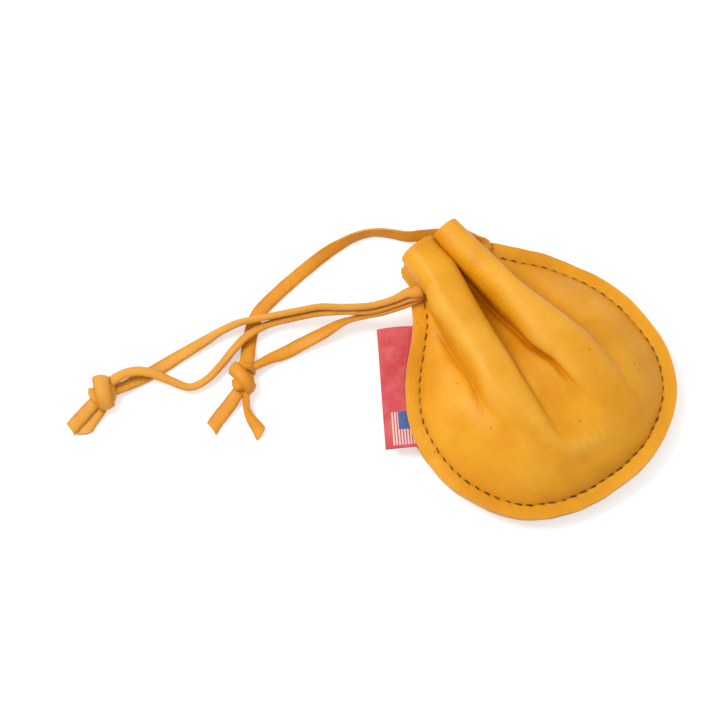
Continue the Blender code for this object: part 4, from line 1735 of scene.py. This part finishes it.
@dataclass
class Knot:
    """An overhand knot drawn tight: bands of lace that wrap a round core."""

    name: str
    place: tuple[float, float, float]
    heading: float
    bands: tuple[Wrap, ...]
    size: tuple[float, float, float]
    seed: float = 2.0
    stations: int = 84
    # How deep the bands press into the core, in lace thicknesses.
    press: float = 0.85
    # How much of a band's length dives under its neighbours at each end, and how deep.
    dive_share: float = 0.12
    dive_depth: float = 0.0008
    curl: float = -0.55
    # The farthest from the middle that a band can lie, as a share of the core.
    farthest: float = 0.85
    turns: int = 28
    levels: int = 18
    lump_share: float = 1.04
    lump_unevenness: float = 0.05
    lump_length: float = 0.0022
    # The hidden lump's relief, which paints it darker as painted shade between the bands.
    lump_shade: float = -0.6

    def core(self) -> np.ndarray:
        """Half sizes of the core under the bands."""
        return np.array(self.size) / 2 - self.press * LACE_THICKNESS

    def band(self, wrap: Wrap) -> tuple[np.ndarray, np.ndarray]:
        """One band's path round the core.

        Args:
            wrap: How the band runs.

        Returns:
            The path's points and the direction across the band at each.
        """
        share = np.linspace(0.0, 1.0, self.stations)
        angle = np.radians(wrap.start + wrap.sweep * share)
        half = self.core()
        ring = np.column_stack([0 * angle, np.cos(angle), np.sin(angle)])
        axis = np.array([1.0, 0.0, 0.0])
        b = math.radians(wrap.lean)
        lean_by = np.array([[math.cos(b), 0, math.sin(b)], [0, 1, 0], [-math.sin(b), 0, math.cos(b)]])
        both = about_z(math.radians(wrap.tilt)) @ lean_by
        ring, axis = ring @ both.T, both @ axis
        shape = ring / np.linalg.norm(ring / half, axis=1)[:, None]
        shape *= math.sqrt(1 - min(abs(wrap.shift) / half[0], self.farthest) ** 2)
        shape += axis * wrap.shift
        normal = unit(shape / half**2)
        above = smoothstep(0.0, self.dive_share, share) * smoothstep(0.0, self.dive_share, 1 - share)
        height = (wrap.layer + 0.5) * LACE_THICKNESS * above - self.dive_depth * (1 - above)
        path = shape + normal * height[:, None]
        across = unit(np.cross(np.gradient(path, axis=0), normal))
        return path, across

    def build(self, materials: list[bpy.types.Material]) -> bpy.types.Object:
        """Makes the knot.

        Args:
            materials: The grain side, the flesh side and the cut edge.

        Returns:
            The knot's object.
        """
        spin = about_z(math.radians(self.heading))
        centre = np.array(self.place) + np.array([0.0, LACE_Y, 0.0])
        parts = []
        for number, wrap in enumerate(self.bands):
            path, across = self.band(wrap)
            width = np.full(len(path), LACE_WIDTH * wrap.width)
            curls = np.full(len(path), self.curl)
            seed = self.seed + number
            strip = Strip(self.name, path @ spin.T + centre, across @ spin.T, width, curls, seed=seed)
            parts.append(strip.build(materials))
        parts.append(self.middle(materials, spin, centre))
        made = joined(parts, self.name)
        points = np.array([v.co for v in made.data.vertices])
        points[:, 2] = np.maximum(points[:, 2], 0.0001)
        made.data.vertices.foreach_set("co", points.ravel())
        return made

    def middle(
        self, materials: list[bpy.types.Material], spin: np.ndarray, centre: np.ndarray
    ) -> bpy.types.Object:
        """The lace hidden in the middle of the knot, as one rounded lump.

        Args:
            materials: The knot's materials.
            spin: Turns the knot's own axes to the pouch's.
            centre: The knot's middle.

        Returns:
            The lump's object.
        """
        turn = np.linspace(0.0, 2 * math.pi, self.turns, endpoint=False)
        rings = []
        for level in math.pi * np.linspace(-0.5, 0.5, self.levels + 1)[1:-1]:
            flat = math.cos(level)
            height = np.full(self.turns, math.sin(level))
            rings.append(np.column_stack([flat * np.cos(turn), flat * np.sin(turn), height]))
        shape = np.vstack(rings) * (self.core() * self.lump_share)
        uneven = ripple(shape, self.lump_length, self.seed)
        shape *= (1 + self.lump_unevenness * uneven)[:, None]
        faces = tube_faces(len(rings), self.turns)
        item = mesh_object(f"{self.name}_core", shape @ spin.T + centre, faces, materials)
        # The lump is painted darker, as painted shade between the bands.
        give_point_values(item, "relief", np.full(len(shape), self.lump_shade))
        return item


def joined(parts: list[bpy.types.Object], name: str) -> bpy.types.Object:
    """Joins objects into one.

    Args:
        parts: The objects.
        name: The joined object's name.

    Returns:
        The joined object.
    """
    with bpy.context.temp_override(
        active_object=parts[0], selected_editable_objects=parts, selected_objects=parts
    ):
        bpy.ops.object.join()
    parts[0].name = name
    return parts[0]


@dataclass
class Tail:
    """A lace's end beyond its knot, cut off at a slant."""

    name: str
    route: tuple[tuple[float, ...], ...]
    slant: float = 0.0020
    seed: float = 3.0
    spacing: float = 0.0005
    # How many of the last sections the slanted cut moves, and how much it is rounded.
    cut_sections: int = 6
    rounding: float = 0.35

    def build(self, materials: list[bpy.types.Material]) -> bpy.types.Object:
        """Makes the tail.

        Args:
            materials: The grain side, the flesh side and the cut edge.

        Returns:
            The tail's object.
        """
        path, sides, width, curl = FreeStrand(self.name, self.route, self.spacing).lay()
        item = Strip(self.name, path, sides, width, curl, seed=self.seed).build(materials)
        run = path[-1] - path[-3]
        run /= np.linalg.norm(run)
        across = sides[-1] / np.linalg.norm(sides[-1])
        points = np.array([v.co for v in item.data.vertices])
        count = len(points) // len(path)
        last = points[-count * self.cut_sections :]
        share = np.repeat(np.linspace(0.0, 1.0, self.cut_sections), count)
        place = (last - path[-1]) @ across / (LACE_WIDTH / 2)
        last += np.outer(self.slant * share * (place - self.rounding * place**2), run)
        item.data.vertices.foreach_set("co", points.ravel())
        item.data.update()
        return item


@dataclass
class Laces:
    """The two laces, with everything that is on them."""

    holes: LaceHoles
    first_hide: list[bpy.types.Material]
    second_hide: list[bpy.types.Material]
    first_upper: tuple[tuple[float, ...], ...] = (
        (-0.0150, 0.0000, 0.0184, 0, 1.00, 0),
        (-0.0168, 0.0006, 0.0184, -8, 1.00, 5),
        (-0.0196, 0.0026, 0.0174, -30, 0.98, 20),
        (-0.0251, 0.0044, 0.0152, -42, 0.95, 35),
        (-0.0324, 0.0082, 0.0124, -44, 0.95, 40),
        (-0.0402, 0.0143, 0.0102, -44, 0.95, 40),
        (-0.0467, 0.0200, 0.0087, -46, 0.95, 40),
        (-0.0535, 0.0238, 0.0074, -46, 0.95, 40),
        (-0.0660, 0.0301, 0.0054, -46, 0.95, 35),
        (-0.0740, 0.0338, 0.0048, -42, 0.97, 30),
        (-0.0820, 0.0358, 0.0030, -38, 1.00, 25),
        (-0.0900, 0.0364, 0.0018, -25, 1.03, 15),
        (-0.0992, 0.0370, 0.0013, -10, 1.06, 8),
        (-0.1057, 0.0373, 0.0012, 0, 1.08, 5),
        (-0.1122, 0.0377, 0.0011, 0, 1.08, 5),
        (-0.1184, 0.0384, 0.0013, -6, 1.02, 15),
        (-0.1230, 0.0389, 0.0022, -12, 0.98, 25),
        (-0.1275, 0.0395, 0.0034, -15, 0.95, 30),
    )
    first_lower: tuple[tuple[float, ...], ...] = (
        (-0.0150, 0.0000, 0.0168, 0, 1.00, 0),
        (-0.0168, 0.0000, 0.0168, -6, 1.00, 5),
        (-0.0200, 0.0013, 0.0158, -28, 0.98, 20),
        (-0.0250, 0.0030, 0.0137, -40, 0.95, 35),
        (-0.0330, 0.0070, 0.0107, -42, 0.95, 40),
        (-0.0408, 0.0133, 0.0087, -42, 0.95, 40),
        (-0.0477, 0.0184, 0.0071, -42, 0.95, 40),
        (-0.0543, 0.0220, 0.0058, -42, 0.95, 40),
        (-0.0650, 0.0270, 0.0040, -38, 0.92, 40),
        (-0.0745, 0.0281, 0.0038, -34, 0.90, 50),
        (-0.0820, 0.0268, 0.0030, -34, 0.90, 55),
        (-0.0890, 0.0248, 0.0022, -36, 0.90, 55),
        (-0.0960, 0.0232, 0.0021, -36, 0.90, 55),
        (-0.1031, 0.0243, 0.0023, -34, 0.90, 55),
        (-0.1073, 0.0300, 0.0031, -32, 0.90, 50),
        (-0.1099, 0.0340, 0.0038, -28, 0.92, 50),
        (-0.1119, 0.0368, 0.0042, -26, 0.94, 50),
        (-0.1148, 0.0397, 0.0043, -24, 0.96, 45),
        (-0.1180, 0.0415, 0.0044, -24, 0.98, 40),
        (-0.1216, 0.0424, 0.0047, -22, 0.98, 40),
        (-0.1265, 0.0422, 0.0054, -18, 0.98, 35),
    )
    second_back: tuple[tuple[float, ...], ...] = (
        (0.0146, 0.0000, 0.0154, 0, 0.92, 0),
        (0.0160, 0.0006, 0.0150, 20, 0.92, 0),
        (0.0169, 0.0024, 0.0136, 50, 0.92, 0),
        (0.0170, 0.0048, 0.0112, 70, 0.92, 0),
        (0.0166, 0.0080, 0.0088, 72, 0.92, 5),
        (0.0157, 0.0116, 0.0070, 68, 0.94, 8),
        (0.0136, 0.0148, 0.0058, 60, 0.96, 10),
        (0.0092, 0.0180, 0.0050, 50, 0.98, 12),
        (0.0036, 0.0216, 0.0046, 48, 1.00, 15),
        (-0.0020, 0.0254, 0.0040, 58, 0.98, 15),
        (-0.0065, 0.0303, 0.0036, 70, 0.94, 12),
        (-0.0109, 0.0341, 0.0036, 76, 0.92, 10),
        (-0.0153, 0.0364, 0.0033, 72, 0.95, 10),
        (-0.0201, 0.0377, 0.0030, 66, 0.97, 10),
        (-0.0258, 0.0384, 0.0024, 50, 1.00, 10),
        (-0.0313, 0.0386, 0.0018, 34, 1.04, 8),
        (-0.0438, 0.0378, 0.0012, 10, 1.10, 6),
        (-0.0567, 0.0360, 0.0009, 0, 1.12, 5),
        (-0.0632, 0.0347, 0.0009, 0, 1.12, 5),
        (-0.0680, 0.0326, 0.0009, 0, 1.12, 5),
        (-0.0717, 0.0295, 0.0009, 0, 1.12, 5),
        (-0.0757, 0.0256, 0.0011, 0, 1.12, 8),
        (-0.0785, 0.0221, 0.0022, 0, 1.12, 12),
        (-0.0820, 0.0182, 0.0044, 0, 1.10, 20),
    )
    second_front: tuple[tuple[float, ...], ...] = (
        (-0.0150, 0.0000, 0.0152, 0, 1.00, 0),
        (-0.0168, -0.0003, 0.0152, -5, 1.00, 5),
        (-0.0205, 0.0002, 0.0142, -26, 0.98, 20),
        (-0.0256, 0.0021, 0.0122, -38, 0.95, 35),
        (-0.0303, 0.0043, 0.0104, -42, 0.95, 35),
        (-0.0379, 0.0084, 0.0080, -50, 0.92, 30),
        (-0.0430, 0.0106, 0.0062, -40, 0.95, 25),
        (-0.0503, 0.0119, 0.0043, -16, 1.04, 12),
        (-0.0605, 0.0139, 0.0020, -4, 1.10, 6),
        (-0.0667, 0.0148, 0.0014, 0, 1.08, 10),
        (-0.0718, 0.0160, 0.0018, -14, 0.98, 25),
        (-0.0769, 0.0165, 0.0028, -30, 0.92, 40),
        (-0.0815, 0.0168, 0.0036, -30, 0.90, 40),
    )

    def neck_route_a(self) -> tuple[tuple[float, float], ...]:
        """The first lace inside the neck, as x and z."""
        middle = FRONT_RUN_Z - LACE_PITCH
        back = float(self.holes.outline.seam_z(LACE_Y))
        turn = 0.0080
        return (
            (-0.0148, FRONT_RUN_Z),
            (-0.0100, FRONT_RUN_Z),
            (0.0040, FRONT_RUN_Z),
            (turn - 0.0010, FRONT_RUN_Z - 0.0004),
            (turn + 0.0012, (FRONT_RUN_Z + back) / 2),
            (turn - 0.0010, back + 0.0003),
            (0.0040, back),
            (-0.0050, back),
            (-0.0098, middle - 0.0008),
            (-0.0130, middle),
            (-0.0148, middle),
        )

    def neck_route_b(self) -> tuple[tuple[float, float], ...]:
        """The second lace inside the neck, as x and z."""
        bottom = FRONT_RUN_Z - 2 * LACE_PITCH
        back = self.holes.back_run_z()
        return (
            (-0.0148, bottom),
            (-0.0130, bottom),
            (-0.0095, bottom - 0.0030),
            (-0.0065, back),
            (0.0, back),
            (0.0070, back),
            (0.0103, RIGHT_EXIT_Z - 0.0042),
            (0.0122, RIGHT_EXIT_Z - 0.0009),
            (0.0142, RIGHT_EXIT_Z),
            (0.0153, RIGHT_EXIT_Z),
        )

    def hide(self, node: str) -> list[bpy.types.Material]:
        """The finishes of the lace that a CAD node belongs to."""
        return self.first_hide if node.startswith("lace_a") else self.second_hide

    def knots(self) -> dict[str, bpy.types.Object]:
        """Makes both knots and the four tails, by the CAD node that each stands for."""
        first = Knot(
            "first_knot",
            (-0.1308, 0.0408, 0.0043),
            -6.0,
            (
                Wrap(-15.0, 0.0, -40.0, 250.0, 0.9, 0.0004, 1.30),
                Wrap(16.0, -8.0, -70.0, 270.0, 0.0, -0.0028, 1.00),
                Wrap(-4.0, 12.0, -60.0, 300.0, 0.1, 0.0026, 0.95),
            ),
            (0.0092, 0.0108, 0.0074),
        )
        second = Knot(
            "second_knot",
            (-0.0855, 0.0149, 0.0043),
            47.0,
            (
                Wrap(-50.0, 0.0, -30.0, 240.0, 0.9, -0.0004, 1.05),
                Wrap(10.0, 10.0, -60.0, 290.0, 0.3, 0.0036, 1.15),
                Wrap(24.0, -6.0, -30.0, 200.0, 0.0, -0.0020, 1.00),
            ),
            (0.0122, 0.0086, 0.0074),
            seed=6.0,
        )
        tails = (
            Tail(
                "first_long_tail",
                (
                    (-0.1325, 0.0405, 0.0036, 0, 0.95, 30),
                    (-0.1352, 0.0396, 0.0034, 6, 1.00, 20),
                    (-0.1390, 0.0388, 0.0028, 8, 1.05, 10),
                    (-0.1432, 0.0378, 0.0023, 8, 1.10, 5),
                    (-0.1478, 0.0366, 0.0018, 6, 1.12, 5),
                ),
                slant=-0.0006,
            ),
            Tail(
                "first_short_tail",
                (
                    (-0.1325, 0.0385, 0.0026, 0, 0.95, 20),
                    (-0.1348, 0.0366, 0.0018, 0, 1.00, 15),
                    (-0.1390, 0.0353, 0.0011, 0, 1.06, 5),
                    (-0.1425, 0.0338, 0.0010, 0, 1.10, 0),
                    (-0.1448, 0.0324, 0.0010, 0, 1.10, 0),
                ),
                slant=0.0014,
            ),
            Tail(
                "second_long_tail",
                (
                    (-0.0880, 0.0128, 0.0034, 0, 0.95, 30),
                    (-0.0905, 0.0116, 0.0028, 0, 1.00, 20),
                    (-0.0935, 0.0107, 0.0020, 0, 1.08, 10),
                    (-0.0970, 0.0096, 0.0013, 0, 1.14, 5),
                    (-0.1016, 0.0082, 0.0010, 0, 1.16, 5),
                    (-0.1054, 0.0066, 0.0010, 0, 1.12, 5),
                ),
                slant=-0.0010,
            ),
            Tail(
                "second_short_tail",
                (
                    (-0.0870, 0.0110, 0.0040, -30, 0.90, 20),
                    (-0.0884, 0.0090, 0.0034, -55, 0.86, 20),
                    (-0.0899, 0.0068, 0.0030, -64, 0.84, 20),
                    (-0.0913, 0.0040, 0.0026, -60, 0.86, 20),
                    (-0.0919, 0.0002, 0.0020, -42, 0.92, 20),
                    (-0.0918, -0.0036, 0.0014, -20, 1.00, 15),
                    (-0.0922, -0.0064, 0.0012, -10, 1.06, 10),
                ),
                slant=0.0014,
            ),
        )
        made = {"lace_a_knot": first.build(self.first_hide), "lace_b_knot": second.build(self.second_hide)}
        nodes = ("lace_a_tail_long", "lace_a_tail_short", "lace_b_tail_long", "lace_b_tail_short")
        for node, tail in zip(nodes, tails):
            made[node] = tail.build(self.hide(node))
        return made

    def build(self) -> None:
        """Makes the laces and logs each free strand's length."""
        on = self.knots()
        for node, piece in on.items():
            place(piece, "lace_leather", node)
        for name, route, node in (
            ("first_lace_neck_run", self.neck_route_a(), "lace_a_neck"),
            ("second_lace_neck_run", self.neck_route_b(), "lace_b_neck"),
        ):
            place(NeckRun(name, route).build(self.hide(node)), "lace_leather", node)
        carried = {
            "lace_a_strand_over": [on["lace_a_knot"], on["lace_a_tail_long"], on["lace_a_tail_short"]],
            "lace_b_strand_behind": [on["lace_b_knot"], on["lace_b_tail_long"], on["lace_b_tail_short"]],
        }
        for name, route, node in (
            ("first_lace_upper_strand", self.first_upper, "lace_a_strand_over"),
            ("first_lace_lower_strand", self.first_lower, "lace_a_strand_under"),
            ("second_lace_back_strand", self.second_back, "lace_b_strand_behind"),
            ("second_lace_front_strand", self.second_front, "lace_b_strand_front"),
        ):
            piece, path = FreeStrand(name, route, seed=float(len(name))).build(self.hide(node))
            place(piece, "lace_leather", node)
            length = float(distances(path)[-1])
            tuple(path[0])
            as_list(carried.get(node, []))
            LOG.info("%s is %.0f mm long", name, 1000 * length)


def place(piece: bpy.types.Object, slot: str, *nodes: str) -> None:
    """Puts a piece on the pouch in the place of its CAD nodes.

    Args:
        piece: The piece.
        slot: A material slot's name; not used.
        nodes: The CAD nodes that it stands for.
    """
    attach(piece, BODY)
    if nodes:
        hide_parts(*nodes)
    LOG.info("%s has %d faces", piece.name, len(piece.data.polygons))


@dataclass
class Pouch:
    """The sewn body of the pouch: both panels, their seam and the label."""

    outline: SeamOutline
    label: Label
    holes: LaceHoles

    def build(self) -> None:
        """Makes the body's pieces."""
        hide = [
            GrainLeather("panel_deerskin_grain").material(),
            Suede("panel_deerskin_flesh").material(),
            Suede("panel_deerskin_cut_edge", light="dd9f3c", dark="c98520").material(),
        ]
        skins = {Side.FRONT: FrontSkin(self.outline), Side.BACK: BackSkin(self.outline)}
        names = {Side.FRONT: ("front_skin", "front_panel"), Side.BACK: ("back_skin", "back_panel")}
        for side, skin in skins.items():
            name, node = names[side]
            piece = Panel(name, side, skin, self.outline, self.label).build(hide)
            self.holes.cut(piece, side)
            place(piece, "panel_leather", node)
        thread = BondedThread("bonded_nylon_thread").material()
        place(SeamThread(self.outline, self.label).build([thread]), "seam_thread")
        tag = self.label.build([WovenLabel("polyester_damask").material()])
        place(tag, "label_weave", "side_label")


@dataclass(frozen=True)
class Studio:
    """The camera, a pale floor and soft light."""

    azimuth: float = -36.0
    elevation: float = 70.0
    distance: float = 0.637
    target: tuple[float, float, float] = (-0.04533, 0.04698, 0.0)
    lens_mm: float = 85.0
    floor_size: float = 3.0
    key_place: tuple[float, float, float] = (-0.26, 0.34, 0.56)
    key_size: float = 0.36
    key_power: float = 2.7
    sky_strength: float = 0.82
    floor_glow: float = 0.40

    def camera(self) -> None:
        """Makes the camera at the photo's angle."""
        a, e = math.radians(self.azimuth), math.radians(self.elevation)
        back = Vector((math.sin(a) * math.cos(e), -math.cos(a) * math.cos(e), math.sin(e)))
        data = bpy.data.cameras.new("camera")
        data.lens = self.lens_mm
        data.sensor_width = 36.0
        item = bpy.data.objects.new("camera", data)
        item.location = Vector(self.target) + back * self.distance
        item.rotation_euler = back.to_track_quat("Z", "Y").to_euler()
        bpy.context.scene.collection.objects.link(item)
        bpy.context.scene.camera = item

    def floor(self) -> None:
        """Makes the floor, which keeps the pouch's soft shadow."""
        half = self.floor_size / 2
        corners = np.array([(-half, -half, 0.0), (half, -half, 0.0), (half, half, 0.0), (-half, half, 0.0)])
        made = Shading("matt_white_paper")
        paper = made.finish(
            {"Base Color": (0.80, 0.80, 0.80, 1.0), "Roughness": 1.0, "Specular IOR Level": 0.0}
        )
        rays = add_node(made.tree, "ShaderNodeLightPath").outputs
        seen = made.reckon("MAXIMUM", rays["Is Camera Ray"], rays["Is Glossy Ray"])
        shown = made.reckon("MAXIMUM", seen, rays["Is Transmission Ray"])
        strength = made.reckon("MULTIPLY", shown, self.floor_glow)
        glow = add_node(made.tree, "ShaderNodeEmission", {"Strength": strength})
        both = add_node(
            made.tree, "ShaderNodeAddShader", {0: made.shader.outputs[0], 1: glow.outputs[0]}
        )
        connect(made.tree, made.tree.nodes["Material Output"], {"Surface": both.outputs[0]})
        mesh_object("floor", corners, [(0, 1, 2, 3)], [paper])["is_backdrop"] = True

    def lights(self) -> None:
        """Makes the sky light and one large soft lamp."""
        world = bpy.data.worlds.new("studio")
        world.use_nodes = True
        tree = world.node_tree
        sky = tree.nodes["Background"]
        sky.inputs["Color"].default_value = (1.0, 1.0, 1.0, 1.0)
        rays = add_node(tree, "ShaderNodeLightPath")
        strength = add_node(
            tree,
            "ShaderNodeMapRange",
            {"Value": rays.outputs["Is Camera Ray"], "To Min": self.sky_strength, "To Max": 1.0},
        )
        tree.links.new(strength.outputs["Result"], sky.inputs["Strength"])
        bpy.context.scene.world = world
        lamp = bpy.data.lights.new("key", "AREA")
        lamp.shape = "DISK"
        lamp.size = self.key_size
        lamp.energy = self.key_power
        item = bpy.data.objects.new("key", lamp)
        item.location = self.key_place
        item.rotation_euler = Vector(self.key_place).to_track_quat("Z", "Y").to_euler()
        bpy.context.scene.collection.objects.link(item)

    def build(self) -> None:
        """Makes the stage and sets how colours are shown."""
        self.camera()
        self.floor()
        self.lights()
        bpy.context.scene.view_settings.view_transform = "Standard"


def main() -> None:
    """Builds the camera, the laces, the pouch and the stage, and works out both boxes."""
    logging.basicConfig(level=logging.INFO)
    Studio().build()
    outline = SeamOutline()
    label = Label(outline)
    holes = LaceHoles(outline)
    flesh = Suede("lace_deerskin_flesh", light="d69232", dark="c07816").material()
    cut = Suede("lace_deerskin_cut_edge", light="dca456", dark="c08028").material()
    fine = {"cloud": 0.007, "wrinkle": 0.0028}
    # Each lace's lit tone is its painted highlight.
    paler = GrainLeather(
        "first_lace_deerskin_grain", base="cf881c", deep="c07608", lit="d89c3c", **fine
    )
    deeper = GrainLeather(
        "second_lace_deerskin_grain", base="d4860e", deep="c27204", lit="d99228", **fine
    )
    first_hide, second_hide = [paler.material(), flesh, cut], [deeper.material(), flesh, cut]
    Laces(holes, first_hide, second_hide).build()
    Pouch(outline, label, holes).build()
    [[list(corner) for corner in box] for box in (CAD_BOX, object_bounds())]


if __name__ == "__main__":
    main()
